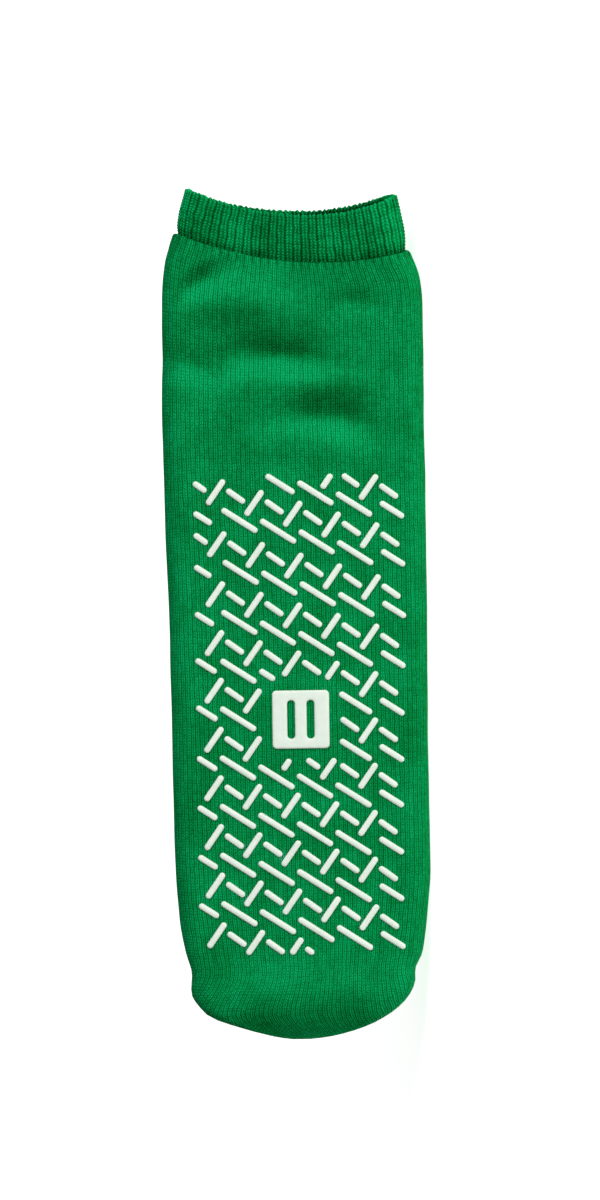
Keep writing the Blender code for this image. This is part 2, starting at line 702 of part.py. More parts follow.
def make_tread(material):
    """The grip bars, row by row from the heel to the toe. Low webs join the bars of a row."""
    number = 0
    for row in ROWS:
        for members, webs in link_bars(row_bars(row)):
            number += 1
            blocks = [prism(outline, BAR_HEIGHT, BAR_DRAFT) for outline in members]
            blocks += [prism(web_outline(*web), WEB_HEIGHT, 0.0) for web in webs]
            name = f"tread_row_{number:02d}"
            mesh = lay_on_sole(united(blocks))
            mesh.name = name
            add_object(name, mesh, material)


def rounded_rectangle(length, width, radius, middle):
    """Outline of a rectangle with round corners."""
    points = []
    for quarter in range(4):
        side = (1.0 if quarter in (0, 3) else -1.0, 1.0 if quarter < 2 else -1.0)
        centre = (middle[0] + side[0] * (length / 2.0 - radius),
                  middle[1] + side[1] * (width / 2.0 - radius))
        for step in range(CORNER_STEPS + 1):
            angle = math.pi / 2.0 * (quarter + step / CORNER_STEPS)
            points.append((centre[0] + math.cos(angle) * radius, centre[1] + math.sin(angle) * radius))
    return points


def make_size_pad(material):
    """The plain square pad in the clear window, with two round-ended slots."""
    middle = (PAD_ALONG, PAD_ACROSS)
    block = prism(rounded_rectangle(PAD_LENGTH, PAD_WIDTH, PAD_CORNER, middle), BAR_HEIGHT, BAR_DRAFT)
    cutters = []
    for side in (-1.0, 1.0):
        spot = (PAD_ALONG, PAD_ACROSS + side * SLOT_SPACING / 2.0)
        outline = rounded_rectangle(SLOT_LENGTH, SLOT_WIDTH, SLOT_ROUNDING, spot)
        cutters.append(prism(outline, BAR_HEIGHT * 2.0, 0.0, -BAR_HEIGHT))
    mesh = lay_on_sole(united([block], cutters))
    mesh.name = "size_pad"
    add_object("size_pad", mesh, material)


def centre_on_floor():
    """Shift every piece so that the origin is under the middle of the whole sock's box."""
    items = list(bpy.data.objects)
    corners = [vert.co for item in items for vert in item.data.vertices]
    middle_x = (min(c.x for c in corners) + max(c.x for c in corners)) / 2.0
    middle_y = (min(c.y for c in corners) + max(c.y for c in corners)) / 2.0
    lowest = min(c.z for c in corners)
    for item in items:
        for vert in item.data.vertices:
            vert.co -= Vector((middle_x, middle_y, lowest))
        item.data.update()


def main():
    """Build every piece."""
    for item in list(bpy.data.objects):
        bpy.data.objects.remove(item, do_unlink=True)
    knit = make_material("green_knit", *GREEN_KNIT)
    ribbed = make_material("green_rib", *GREEN_RIB)
    grip = make_material("white_grip", *WHITE_GRIP)
    make_upper_and_sole(knit)
    make_cuff(ribbed)
    make_toe_seam(knit)
    make_tread(grip)
    make_size_pad(grip)
    centre_on_floor()


main()
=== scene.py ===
"""Looks of the slipper sock: fine knit, ribbed cuff, linked toe seam and printed grip bars.

Lengths are in metres, in the frame's axes. The form repeats the sock's own sections, so that the
fine pieces lie on the solids that they stand for. Places on the sock are given in three lengths:
along, from the toe tip to the collar; across, up the sole face; and deep, from the sole face in.
"""
import math
from collections import namedtuple

import bmesh
import bpy
import numpy as np
from mathutils import Matrix, Vector, kdtree, noise


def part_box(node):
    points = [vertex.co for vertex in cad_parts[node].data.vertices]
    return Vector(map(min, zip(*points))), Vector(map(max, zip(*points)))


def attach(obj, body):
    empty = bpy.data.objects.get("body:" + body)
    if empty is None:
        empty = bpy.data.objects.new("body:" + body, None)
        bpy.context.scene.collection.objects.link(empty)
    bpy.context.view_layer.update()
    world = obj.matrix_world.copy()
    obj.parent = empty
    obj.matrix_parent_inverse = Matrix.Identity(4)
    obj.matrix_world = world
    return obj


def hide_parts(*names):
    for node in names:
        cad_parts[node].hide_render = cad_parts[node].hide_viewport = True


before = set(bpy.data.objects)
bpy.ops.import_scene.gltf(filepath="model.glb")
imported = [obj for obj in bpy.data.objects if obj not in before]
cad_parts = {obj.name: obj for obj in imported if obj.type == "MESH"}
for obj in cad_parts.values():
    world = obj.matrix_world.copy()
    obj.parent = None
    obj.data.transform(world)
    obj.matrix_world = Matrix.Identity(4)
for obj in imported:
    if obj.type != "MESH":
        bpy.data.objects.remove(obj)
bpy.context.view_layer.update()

# Main sizes of the sock, as in the solids
LEG_LENGTH = 0.2734
CUFF_HEIGHT = 0.0168
BALL_WIDTH = 0.0910
INSTEP_DEPTH = 0.0460
TOP_FOLD_DEPTH = 0.0230
SOLE_LEAN = math.radians(11.0)
SOCK_LENGTH = LEG_LENGTH + CUFF_HEIGHT
KNIT_WALL = 0.0020
CUFF_WALL = 0.0028
RIM_FALL = 0.0096
BACK_EASE = 0.19
BACK_LIFT = 0.34

# Roundings of the section
SOLE_EDGE_RADIUS = 0.0070
SOLE_FOLD_RADIUS = 0.0080
INSTEP_FOLD_RADIUS = 0.0160
INSTEP_CORNER_RADIUS = 0.0150
FILLET_LIMIT = 0.98
SOLE_CROWN = 0.0010
INSTEP_CROWN = 0.0060
INSTEP_RIDGE_RADIUS = 0.1400

# Toe pocket and its linked seam
TOE_CAP = 0.0220
TOE_TIP_ACROSS = 0.514 * BALL_WIDTH
TOE_TIP_DEEP = 0.293 * INSTEP_DEPTH
TOE_SQUARENESS_TOP = 1.95
TOE_SQUARENESS_FLOOR = 1.95
TOE_SQUARENESS_DEEP = 2.0
TOE_TIP = (0.0, TOE_TIP_ACROSS, TOE_TIP_DEEP)
SEAM_WIDTH = 0.0022
SEAM_HEIGHT = 0.0010
SEAM_AT_TOP = 0.0115
SEAM_AT_FLOOR = 0.0195

# Printed grip bars and size pad
BAR_WIDTH = 0.00214
BAR_HEIGHT = 0.0009
LEAST_BAR_AREA = 4.5e-6
CROSS_LENGTH = 0.0104
SHORT_LENGTH = 0.0077
LONG_LENGTH = 0.0144
EDGE_LONG_LENGTH = 0.0098
CROSS_ANGLE = math.radians(55.0)
SHORT_ANGLE = math.radians(-36.0)
LONG_ANGLE = math.radians(-33.0)
ROW_PITCH = 0.01659
COLUMN_PITCH = 0.01305
ROW_SLANT = 0.00385
SLANT_EASE = 0.00012
COLUMN_DRIFT = 0.00023
SHORT_STEP = (-0.00145, -0.00680)
LONG_STEP = (-0.00970, -0.00800)
EDGE_LONG_STEP = (-0.00780, -0.00790)
SLIP_FALL = 0.45
PRINT_LENGTH = 0.1628
PRINT_WIDTH = 0.0714
PRINT_LOW = 0.0292
PRINT_HIGH = PRINT_LOW + PRINT_LENGTH
PRINT_MIDDLE = 0.489 * BALL_WIDTH
PRINT_FLOOR_EDGE = PRINT_MIDDLE - PRINT_WIDTH / 2.0
PRINT_TOP_EDGE = PRINT_MIDDLE + PRINT_WIDTH / 2.0
FIRST_CROSS_MARGIN = 0.0070
FIRST_CROSS_ALONG = PRINT_HIGH - 0.97 * FIRST_CROSS_MARGIN
FIRST_CROSS_ACROSS = PRINT_TOP_EDGE - FIRST_CROSS_MARGIN
WINDOW_LENGTH = 0.0272
WINDOW_WIDTH = 0.0268
PAD_ALONG = 0.1089
PAD_SHIFT = 0.0004
PAD_ACROSS = PRINT_MIDDLE + PAD_SHIFT
PAD_LENGTH = 0.0198
PAD_WIDTH = 0.0194
PAD_CORNER = 0.0014
SLOT_WIDTH = 0.0026
SLOT_LENGTH = 0.0130
SLOT_SPACING = 0.0066
SLOT_ROUNDING = 0.45 * SLOT_WIDTH

# Sections of the sock. All but the name are shares: along of LEG_LENGTH or of CUFF_HEIGHT, top
# and lift of BALL_WIDTH, depth of INSTEP_DEPTH, fold of TOP_FOLD_DEPTH, crown of INSTEP_CROWN.
Section = namedtuple("Section", "name along top lift depth fold crown")
FOOT_AND_LEG = (
    Section("toe tip", 0.000, 0.820, 0.072, 0.58, 0.86, 0.40),
    Section("toe corner", 0.036, 0.950, 0.064, 0.60, 0.87, 0.42),
    Section("toe seam", 0.081, 0.912, 0.055, 0.61, 0.88, 0.45),
    Section("toes", 0.110, 0.936, 0.031, 0.66, 0.90, 0.50),
    Section("little toe", 0.154, 0.960, 0.012, 0.73, 0.93, 0.60),
    Section("ball behind the toes", 0.212, 0.970, 0.000, 0.80, 0.95, 0.70),
    Section("ball", 0.318, 0.974, 0.000, 0.88, 0.98, 0.85),
    Section("waist", 0.456, 0.978, 0.000, 0.96, 1.00, 0.97),
    Section("instep", 0.594, 0.986, 0.000, 1.00, 1.00, 1.00),
    Section("heel", 0.764, 0.997, 0.000, 0.97, 1.00, 0.90),
    Section("ankle", 0.860, 0.993, 0.000, 0.92, 1.00, 0.78),
    Section("leg", 0.918, 0.990, 0.000, 0.88, 1.00, 0.70),
    Section("gathers", 0.961, 0.979, 0.008, 0.83, 0.99, 0.60),
    Section("gather line", 1.000, 0.947, 0.044, 0.78, 0.97, 0.50),
)
CUFF = (
    Section("gather line", 0.000, 0.937, 0.050, 0.76, 0.96, 0.50),
    Section("mid cuff", 0.500, 0.920, 0.069, 0.74, 0.96, 0.48),
    Section("rim", 1.000, 0.893, 0.090, 0.73, 0.97, 0.45),
)

# How the courses of knit bow down near the collar: along as a share of SOCK_LENGTH, fall of
# RIM_FALL, and the lowest place and the spread across the sole of BALL_WIDTH
Bow = namedtuple("Bow", "along fall low spread")
BOWS = (
    Bow(0.72, 0.00, 0.379, 0.55),
    Bow(0.87, 0.62, 0.379, 0.55),
    Bow(0.94, 1.07, 0.379, 0.55),
    Bow(1.00, 1.00, 0.434, 0.46),
)

# The outline's stretches, from the floor edge of the sole round to the floor. Arcs and sides
# take turns.
STRETCHES = ("sole edge", "sole", "sole fold", "crest", "instep fold", "upper instep",
             "instep ridge", "lower instep", "instep corner", "floor")
STRETCH_SAMPLES = (0.0, 0.25, 0.5, 0.75, 0.9999)

# Where the sole's flat stretch starts and ends, and the columns that count wales as the sole does
FLAT_SPOTS = (1.0, 2.0)
SOLE_SPOTS = (0.5, 2.5)

# The rows of bars, with their shifts off the even lattice where the knit stretched under the
# print: rise along the sock as a share of ROW_PITCH, and, as shares of COLUMN_PITCH, drift across
# it, extra slant a column, and slip of the first long bar past the edge. First is the column
# where a row starts. Crosses and longs are the highest columns with a cross and with a long bar.
Row = namedtuple("Row", "number rise drift slant slip first crosses longs")
ROWS = (
    Row(-1, 0.096, 0.000, 0.000, 0.000, 1, 4, 4),
    Row(0, 0.078, -0.031, 0.000, 0.184, -1, 4, 4),
    Row(1, 0.012, -0.061, 0.008, 0.230, -1, 4, 4),
    Row(2, -0.012, -0.023, 0.014, 0.123, -1, 4, 4),
    Row(3, -0.012, 0.000, 0.014, 0.031, -1, 4, 4),
    Row(4, 0.012, 0.008, 0.015, 0.000, -1, 4, 4),
    Row(5, 0.006, 0.015, 0.000, 0.000, -1, 4, 4),
    Row(6, 0.012, 0.015, 0.000, 0.000, -1, 4, 4),
    Row(7, 0.012, 0.008, -0.004, 0.000, -1, 4, 4),
    Row(8, 0.018, -0.023, 0.000, 0.000, -1, 4, 4),
    Row(9, 0.000, -0.061, 0.000, 0.000, -1, 2, -2),
)
LAST_EDGE_SHORT_ROW = 1
FIRST_COLUMN = -1
LAST_COLUMN = 4

# Knit: one wale is one column of stitches, one course one row of them
WALE_PITCH = 0.00153
COURSE_PITCH = 0.00095
COLUMNS_A_WALE = 4
WALE_RELIEF = 0.00007
WALE_ROUNDNESS = 0.8
RING_STEP = 0.0020
CAP_RINGS = 15
LINING_RINGS = 2
LINING_START = 2
LINING_RISE = 0.0012
FLOOR_SKIN = 0.00005
TOE_FAN = 0.22
FAN_REACH = 0.040
REFERENCE_SHARE = 0.70
VEE_SLOPE = 0.75

# The leg's tucked edge, as steps ahead of the gather line and in from the face
EDGE_TUCK = ((0.0004, 0.0001), (0.0008, 0.0004), (0.0011, 0.0009), (0.0012, 0.0015),
             (0.0012, 0.0026))
TUCK_COURSE = 0.6

# Ribbed cuff. Its foot is given as heights above the gather line and insets from its face.
RIB_PITCH = 0.00280
COLUMNS_A_RIB = 12
RIB_RELIEF = 0.00016
RIB_SHARPNESS = 4
STITCH_RELIEF = 0.00030
ROWS_A_COURSE = 4
CUFF_FOOT = ((0.0, 0.0016), (0.0001, 0.0007), (0.0005, 0.0001))
CUFF_FOOT_HEIGHT = 0.0008
CUFF_LINING_STEPS = 6
NORMAL_RINGS = 8
RIM_RADIUS = CUFF_WALL / 2.0
CUFF_LIP = CUFF_HEIGHT - RIM_RADIUS
RIM_STEPS = 8
RIM_SCALLOPS = 1.4
RIM_SCALLOP_DEPTH = 0.0005
# Painted light on the rim's crown, carried by the fold attribute
RIM_PAINTED_LIGHT = 0.8
RIM_TIP_LIFT = 0.0030
RIM_TIP_REACH = 0.0340
WAIST_DEPTH = 0.0010
WAIST_REACH = 0.0030

# Linked seam's stitches. Spots count stretches round the outline.
SEAM_FIRST_SPOT = 3.15
SEAM_LAST_SPOT = 9.85
SEAM_EASE = 0.6
SEAM_STITCH = 0.0013
SEAM_RINGS = 400
SEAM_SIDES = 12
SEAM_PROBE = 0.0004
SEAM_SINK = 0.4
SEAM_WRAP = 0.22
SEAM_SWAY = 0.12
SEAM_TAPER = 0.35
SEAM_BLUNT = 0.02

# Print: how a bar's edge rises, as shares of the way in and of its height, and its unevenness
BAR_PROFILE = ((0.00, -0.30), (0.00, 0.05), (0.06, 0.48), (0.18, 0.71), (0.36, 0.87), (0.60, 0.96),
               (0.82, 1.00))
BAR_STEP = 0.0013
END_STEPS = 4
LEAST_BAR_SHARE = 1.15
BAR_UNEVENNESS = 0.10
BAR_TURN = 2.4
BAR_WOBBLE = 0.00003
BAR_WOBBLE_SIZE = 0.0022
PAD_WOBBLE_SIZE = 0.0030
WOBBLE_INSET = 0.0020
WOBBLE_SEED = 1

# The pad's edge, as insets in metres and shares of its height
PAD_PROFILE = ((0.0, -0.30), (0.0, 0.30), (0.00008, 0.62), (0.00025, 0.86), (0.00050, 0.96),
               (0.00085, 1.00))
PAD_STEP = 0.0012
CORNER_STEPS = 5
LEAST_CORNER = 0.0002

# Smudges of thin gel between the bars' ends
SMUDGE_REACH = 0.0012
SMUDGE_SIZE = 0.0011
SMUDGE_SPREAD = 0.0004
SMUDGE_STRENGTH = 0.45
SMUDGE_CONTRAST = 0.90
SMUDGE_NOISE = 0.0040

# Camera and lights
PICTURE_TURN = 0.01444
PICTURE_HEIGHT = 0.408
CAMERA_DISTANCE = 6.0
AIM_ALONG = 0.1495
AIM_ACROSS = 0.0446
FILM_SIZE = 36.0
SURROUND = 0.05
CLIP_RANGE = (0.05, 30.0)
FLOOR_HALF = 4.0
FLOOR_GLOW = 0.86
LIGHT_AIM = (0.0, 0.0, 0.04)
Lamp = namedtuple("Lamp", "name spot size power")
LIGHTS = (
    Lamp("key", (2.55, -2.70, 1.90), 1.5, 138.0),
    Lamp("overhead", (0.00, -0.35, 2.80), 2.6, 10.0),
)

# Creases and swells of the slack knit. Along is a share of SOCK_LENGTH; across, length and
# width are shares of BALL_WIDTH; turn is in degrees off the across direction; rise is a share of
# CREASE_DEPTH, and below 0 for a trough. Side is -1 on the sole face and 1 on the instep.
CREASE_DEPTH = 0.0021
CREASE_BEND = 0.10
Crease = namedtuple("Crease", "name side along across turn length width rise")
CREASES = (
    Crease("diagonal below the cuff", -1, 0.887, 0.860, -38.0, 0.110, 0.045, -1.40),
    Crease("swell under the cuff", -1, 0.865, 0.674, 4.0, 0.220, 0.080, 1.20),
    Crease("small dip beside it", -1, 0.863, 0.263, 0.0, 0.080, 0.040, -0.50),
    Crease("upper ankle fold", -1, 0.800, 0.560, 8.0, 0.190, 0.064, -1.75),
    Crease("swell of the ankle", -1, 0.773, 0.380, 6.0, 0.200, 0.060, 0.90),
    Crease("lower ankle fold", -1, 0.729, 0.381, 8.0, 0.170, 0.055, -1.50),
    Crease("swell above the print", -1, 0.695, 0.450, 8.0, 0.220, 0.060, 0.35),
    Crease("dip at the top fold", -1, 0.790, 0.880, 20.0, 0.090, 0.050, -0.60),
    Crease("swell of the toes", -1, 0.048, 0.530, 0.0, 0.400, 0.100, 0.85),
    Crease("fold at the back of the ankle", 1, 0.800, 0.620, -18.0, 0.240, 0.060, -1.20),
    Crease("swell at the back", 1, 0.760, 0.560, -16.0, 0.260, 0.070, 0.90),
    Crease("lower fold at the back", 1, 0.715, 0.450, -14.0, 0.220, 0.060, -1.00),
    Crease("short fold under the cuff", 1, 0.880, 0.350, 24.0, 0.120, 0.050, -0.80),
    Crease("slack over the toes", 1, 0.170, 0.520, 10.0, 0.240, 0.070, -0.70),
    Crease("slack beside the ball", 1, 0.330, 0.330, -22.0, 0.260, 0.080, -0.60),
)

# Painted shade and painted light in the yarn's colour: crease slopes that face the toe painted darker, those
# that face the collar lighter, and a painted zigzag of shade along the gathers below the cuff
FOLD_STEP = 0.0004
FOLD_SLOPE = 0.45
PAINTED_SHADE_STRENGTH = 0.34
GATHER_REACH = 0.0016
GATHER_PAINTED_SHADE = 0.25
GATHER_SHADE_ZIGZAG = 0.65

# Swells of slack knit all over, and the puckers that the cuff draws in
Swell = namedtuple("Swell", "size height seed")
KNIT_SWELLS = (Swell(0.0260, 0.00034, 1), Swell(0.0110, 0.00012, 2))
RIB_SWELLS = (Swell(0.0120, 0.00030, 5), Swell(0.0045, 0.00016, 6))
PUCKER = Swell(0.0030, 0.00070, 3)
PUCKER_REACH = 0.016
PUCKER_STRETCH = 0.12
NOISE_SHIFT = (7.3, 3.1, 5.7)

# Dents at the ends of the linked seam, in metres, and how far each reaches each way
Notch = namedtuple("Notch", "name along across deep size")
NOTCHES = (
    Notch("floor end", 0.0235, 0.0062, 0.0040, 0.0009),
    Notch("top end", 0.0118, 0.0808, 0.0080, 0.0008),
)
NOTCH_REACH = (0.0030, 0.0060, 0.0090)

# Yarns, in linear colour. Gap darkens the grooves between wales, sharp narrows the stitches'
# legs, and uneven is the strength of long streaks.
Yarn = namedtuple("Yarn", "name dark middle light depth gap sharp uneven")
JERSEY = Yarn("emerald_knit", (0.0002, 0.100, 0.016), (0.0005, 0.235, 0.047),
              (0.0020, 0.400, 0.120), 0.00055, 0.13, 0.6, 0.42)
RIB = Yarn("emerald_rib", (0.0001, 0.040, 0.004), (0.0003, 0.190, 0.034),
           (0.0014, 0.430, 0.125), 0.00070, 0.12, 1.2, 0.24)
STAIN = (0.06, 0.48, 0.28)
SOAK_BASE = 0.1
SOAK_CONTRAST = 1.2

# What each part of the knit adds to its tone, and how its pattern wanders
WALE_WANDER_SIZE = 0.40
COURSE_WANDER_SIZE = 1.3
GROOVE_SHARPNESS = 5.0
GROOVE_DEPTH = 0.5
FIBRE_HEIGHT = 0.30
VEE_SHARE = 0.48
STREAK_STRETCH = 0.035
STITCH_TONE = 0.50
FIBRE_TONE = 0.36
STRAND_TONE = 0.18
PATCH_TONE = 0.74
TONE_BASE = 0.29
RAMP_ENDS = (0.05, 0.95)

# Gel: its two whites, and the green that shows through at its foot
GEL_DARK = (0.60, 0.68, 0.59)
GEL_LIGHT = (0.74, 0.80, 0.73)
GEL_FOOT = (0.30, 0.56, 0.36)
FOOT_STEEPNESS = 2.2
FOOT_ROUNDING = 0.3
FOOT_SHARE = 0.85
PIT_DEPTH = 0.00004
FLOOR_LIGHT = (0.93, 0.93, 0.93)
FLOOR_DARK = (0.91, 0.91, 0.91)

# Noises of the materials, in their own scale
Grain = namedtuple("Grain", "scale detail rough", defaults=(2.0, 0.5))
WALE_WANDER = Grain(330.0, 1.0)
COURSE_WANDER = Grain(210.0, 1.0)
FIBRES = Grain(2400.0, 3.0, 0.65)
STREAKS = Grain(1.1)
PATCHES = Grain(70.0, 3.0, 0.60)
GEL_CLOUDS = Grain(320.0, 3.0)
GEL_PITS = Grain(1100.0, 3.0, 0.55)
FLOOR_GRAIN = Grain(35.0)


def smooth_read(rows, field, along):
    """Value of one column at a share of the length, on a smooth curve with no overshoot."""
    spots = [row.along for row in rows]
    values = [getattr(row, field) for row in rows]
    last = len(rows) - 1
    if along <= spots[0]:
        return values[0]
    if along >= spots[last]:
        return values[last]
    rises = [(values[i + 1] - values[i]) / (spots[i + 1] - spots[i]) for i in range(last)]
    slopes = [rises[0]]
    for before, after in zip(rises, rises[1:]):
        flat = before * after <= 0.0
        slopes.append(0.0 if flat else 2.0 * before * after / (before + after))
    slopes.append(rises[-1])
    i = max(k for k in range(last) if spots[k] <= along)
    span = spots[i + 1] - spots[i]
    u = (along - spots[i]) / span
    start = values[i] * (1.0 + 2.0 * u) * (1.0 - u) ** 2 + slopes[i] * span * u * (1.0 - u) ** 2
    end = values[i + 1] * u * u * (3.0 - 2.0 * u) + slopes[i + 1] * span * u * u * (u - 1.0)
    return start + end


def cap_share(along, squareness):
    """How much of its full section the toe pocket has reached, from 0 at the tip to 1."""
    left = max(0.0, 1.0 - along / TOE_CAP)
    return (1.0 - left ** squareness) ** (1.0 / squareness)


def fillet(before, corner, after, radius):
    """Centre, start angle and sweep of the arc that rounds a corner of the section."""
    to_before = (before - corner).normalized()
    to_after = (after - corner).normalized()
    inside = to_before.angle(to_after)
    centre = corner + (to_before + to_after).normalized() * (radius / math.sin(inside / 2.0))
    start = corner + to_before * (radius / math.tan(inside / 2.0)) - centre
    end = corner + to_after * (radius / math.tan(inside / 2.0)) - centre
    return centre, math.atan2(start.y, start.x), start.angle(end)


def section_outline(rows, along):
    """The section's rounded corners, as arcs and radii in lengths across and deep."""
    share = along / LEG_LENGTH if rows is FOOT_AND_LEG else (along - LEG_LENGTH) / CUFF_HEIGHT
    top = smooth_read(rows, "top", share) * BALL_WIDTH
    floor_edge = smooth_read(rows, "lift", share) * BALL_WIDTH / math.cos(SOLE_LEAN)
    depth = smooth_read(rows, "depth", share) * INSTEP_DEPTH
    fold = smooth_read(rows, "fold", share) * TOP_FOLD_DEPTH
    crown = smooth_read(rows, "crown", share) * INSTEP_CROWN
    crest = Vector((top, fold))
    base = Vector((floor_edge + depth * math.tan(SOLE_LEAN), depth))
    outwards = Vector(((base - crest).y, -(base - crest).x)).normalized()
    ridge = (crest + base) / 2.0 + outwards * crown
    corners = [Vector((floor_edge, 0.0)), Vector((top, 0.0)), crest, ridge, base]
    radii = [SOLE_EDGE_RADIUS, SOLE_FOLD_RADIUS, INSTEP_FOLD_RADIUS, INSTEP_RIDGE_RADIUS,
             INSTEP_CORNER_RADIUS]
    count = len(corners)
    reaches = []
    for i, radius in enumerate(radii):
        before, after = corners[i - 1] - corners[i], corners[(i + 1) % count] - corners[i]
        reaches.append(radius / math.tan(before.angle(after) / 2.0))
    fits = [(corners[i] - corners[i - 1]).length * FILLET_LIMIT / (reaches[i] + reaches[i - 1])
            for i in range(count)]
    radii = [radii[i] * min(1.0, fits[i], fits[(i + 1) % count]) for i in range(count)]
    arcs = [fillet(corners[i - 1], corners[i], corners[(i + 1) % count], radii[i])
            for i in range(count)]
    return arcs, radii


def arc_point(arc, radius, fraction):
    """Point at a fraction of an arc's sweep."""
    centre, start, sweep = arc
    angle = start + sweep * fraction
    return centre + Vector((math.cos(angle), math.sin(angle))) * radius


def outline_point(arcs, radii, spot):
    """Point (across, deep) of the section. Spot is a stretch's number and the share of it passed."""
    number = int(spot) % len(STRETCHES)
    fraction = spot - int(spot)
    corner = number // 2
    if number % 2 == 0:
        return arc_point(arcs[corner], radii[corner], fraction)
    following = (corner + 1) % len(arcs)
    start = arc_point(arcs[corner], radii[corner], 1.0)
    end = arc_point(arcs[following], radii[following], 0.0)
    point = start + (end - start) * fraction
    if STRETCHES[number] == "sole":
        point.y -= SOLE_CROWN * math.sin(math.pi * fraction) ** 2
    return point


def course_bow(along, across, deep):
    """How far a course of knit lies below its highest place, near the collar."""
    share = along / SOCK_LENGTH
    fall = smooth_read(BOWS, "fall", share) * RIM_FALL
    low = smooth_read(BOWS, "low", share) * BALL_WIDTH
    spread = smooth_read(BOWS, "spread", share) * BALL_WIDTH
    back = deep / INSTEP_DEPTH
    dip = (1.0 - ((across - low) / spread) ** 2) * (1.0 - BACK_EASE * back)
    return fall * (dip - BACK_LIFT * back * (1.0 - across / BALL_WIDTH) ** 2)


def sock_ring(rows, along, spots):
    """A ring of the sock's outer face, as rows of along, across and deep."""
    arcs, radii = section_outline(rows, along)
    at_top = cap_share(along, TOE_SQUARENESS_TOP)
    at_floor = cap_share(along, TOE_SQUARENESS_FLOOR)
    in_depth = cap_share(along, TOE_SQUARENESS_DEEP)
    ring = []
    for spot in spots:
        point = outline_point(arcs, radii, spot)
        share = at_top if point.x > TOE_TIP_ACROSS else at_floor
        across = TOE_TIP_ACROSS + (point.x - TOE_TIP_ACROSS) * share
        deep = TOE_TIP_DEEP + (point.y - TOE_TIP_DEEP) * in_depth
        ring.append((along - course_bow(along, across, deep), across, deep))
    return ring


def sole_flat(along):
    """The two ends of the sole's flat stretch, at the floor side and at the top."""
    arcs, radii = section_outline(FOOT_AND_LEG, along)
    return arc_point(arcs[0], radii[0], 1.0), arc_point(arcs[1], radii[1], 0.0)


def find_shift():
    """Where the solids put the middle of the sock and its sole face."""
    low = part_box("knit_upper_and_sole")[0]
    edges = [sole_flat(row.along * LEG_LENGTH)[0] for row in FOOT_AND_LEG]
    lowest = min(edge.x * math.sin(SOLE_LEAN) + edge.y * math.cos(SOLE_LEAN) for edge in edges)
    return Vector((low.x, low.y - lowest, 0.0))


SHIFT = find_shift()


def to_world(places):
    """From rows of along, across and deep to rows of X, Y and Z."""
    places = np.asarray(places, float)
    along, across, deep = places[..., 0], places[..., 1], places[..., 2]
    y = across * math.sin(SOLE_LEAN) + deep * math.cos(SOLE_LEAN)
    z = across * math.cos(SOLE_LEAN) - deep * math.sin(SOLE_LEAN)
    return np.stack([along + SHIFT.x, y + SHIFT.y, z + SHIFT.z], axis=-1)


INWARDS = np.array([0.0, math.cos(SOLE_LEAN), -math.sin(SOLE_LEAN)])


def unit(vectors):
    """Rows of vectors, each of length 1."""
    return vectors / np.linalg.norm(vectors, axis=-1, keepdims=True)


def grid_normals(points):
    """Outward directions of a closed tube of rings."""
    round_way = np.roll(points, -1, axis=1) - np.roll(points, 1, axis=1)
    return unit(np.cross(np.gradient(points, axis=0), round_way))


def soft_noise(points, swell):
    """Smooth bumps over points, of a swell's size, height and seed."""
    offset = Vector(NOISE_SHIFT) * swell.seed
    flat = points.reshape(-1, 3) / swell.size
    values = [noise.noise(Vector(point) + offset) for point in flat]
    return np.array(values).reshape(points.shape[:-1]) * swell.height


def crease_relief(places, facing):
    """Height of the creases and swells over rows of along, across and deep. Facing is 1 where the
    knit faces like the sole and -1 where it faces like the instep."""
    relief = np.zeros(places.shape[:-1])
    for crease in CREASES:
        turn = math.radians(crease.turn)
        off_along = places[..., 0] - crease.along * SOCK_LENGTH
        off_across = places[..., 1] - crease.across * BALL_WIDTH
        lengthwise = off_across * math.cos(turn) + off_along * math.sin(turn)
        sideways = off_along * math.cos(turn) - off_across * math.sin(turn)
        bend = CREASE_BEND * lengthwise ** 2 / (crease.length * BALL_WIDTH)
        long_share = (lengthwise / (crease.length * BALL_WIDTH)) ** 2
        wide_share = ((sideways + bend) / (crease.width * BALL_WIDTH)) ** 2
        side = np.clip(0.5 - crease.side * facing, 0.0, 1.0)
        side = side * side * (3.0 - 2.0 * side)
        relief += crease.rise * CREASE_DEPTH * np.exp(-long_share - wide_share) * side
    return relief


def slack_relief(places, points):
    """Low swells of slack knit all over, and puckers that fade out below the cuff."""
    below_cuff = np.maximum((LEG_LENGTH - places[..., 0]) / PUCKER_REACH, 0.0)
    drawn_out = places * np.array([PUCKER_STRETCH, 1.0, 1.0])
    pucker = soft_noise(drawn_out, PUCKER) * np.exp(-below_cuff ** 2)
    return sum(soft_noise(points, swell) for swell in KNIT_SWELLS) + pucker


def notch_relief(places):
    """Dents where the ends of the linked seam draw the two folds in."""
    dent = np.zeros(places.shape[:-1])
    for notch in NOTCHES:
        off = (places - (notch.along, notch.across, notch.deep)) / NOTCH_REACH
        dent -= notch.size * np.exp(-(off ** 2).sum(axis=-1))
    return dent


def stretch_lengths(rows, along):
    """Length of each stretch of a section's outline."""
    arcs, radii = section_outline(rows, along)
    lengths = []
    for number in range(len(STRETCHES)):
        steps = [outline_point(arcs, radii, number + share) for share in STRETCH_SAMPLES]
        lengths.append(sum((b - a).length for a, b in zip(steps, steps[1:])))
    return lengths


def spread_columns(rows, along, pitch, columns_each):
    """Spots round the outline, with whole wales in each stretch, and the wale count at each."""
    spots, wales, total = [], [], 0
    for number, length in enumerate(stretch_lengths(rows, along)):
        count = max(1, round(length / pitch))
        for step in range(count * columns_each):
            spots.append(number + step / (count * columns_each))
            wales.append(total + step / columns_each)
        total += count
    return spots, np.array(wales), total


def wale_height(wales):
    """Rounded profile of a wale, 0 in the grooves and 1 on the crown."""
    return np.abs(np.sin(np.pi * wales)) ** WALE_ROUNDNESS


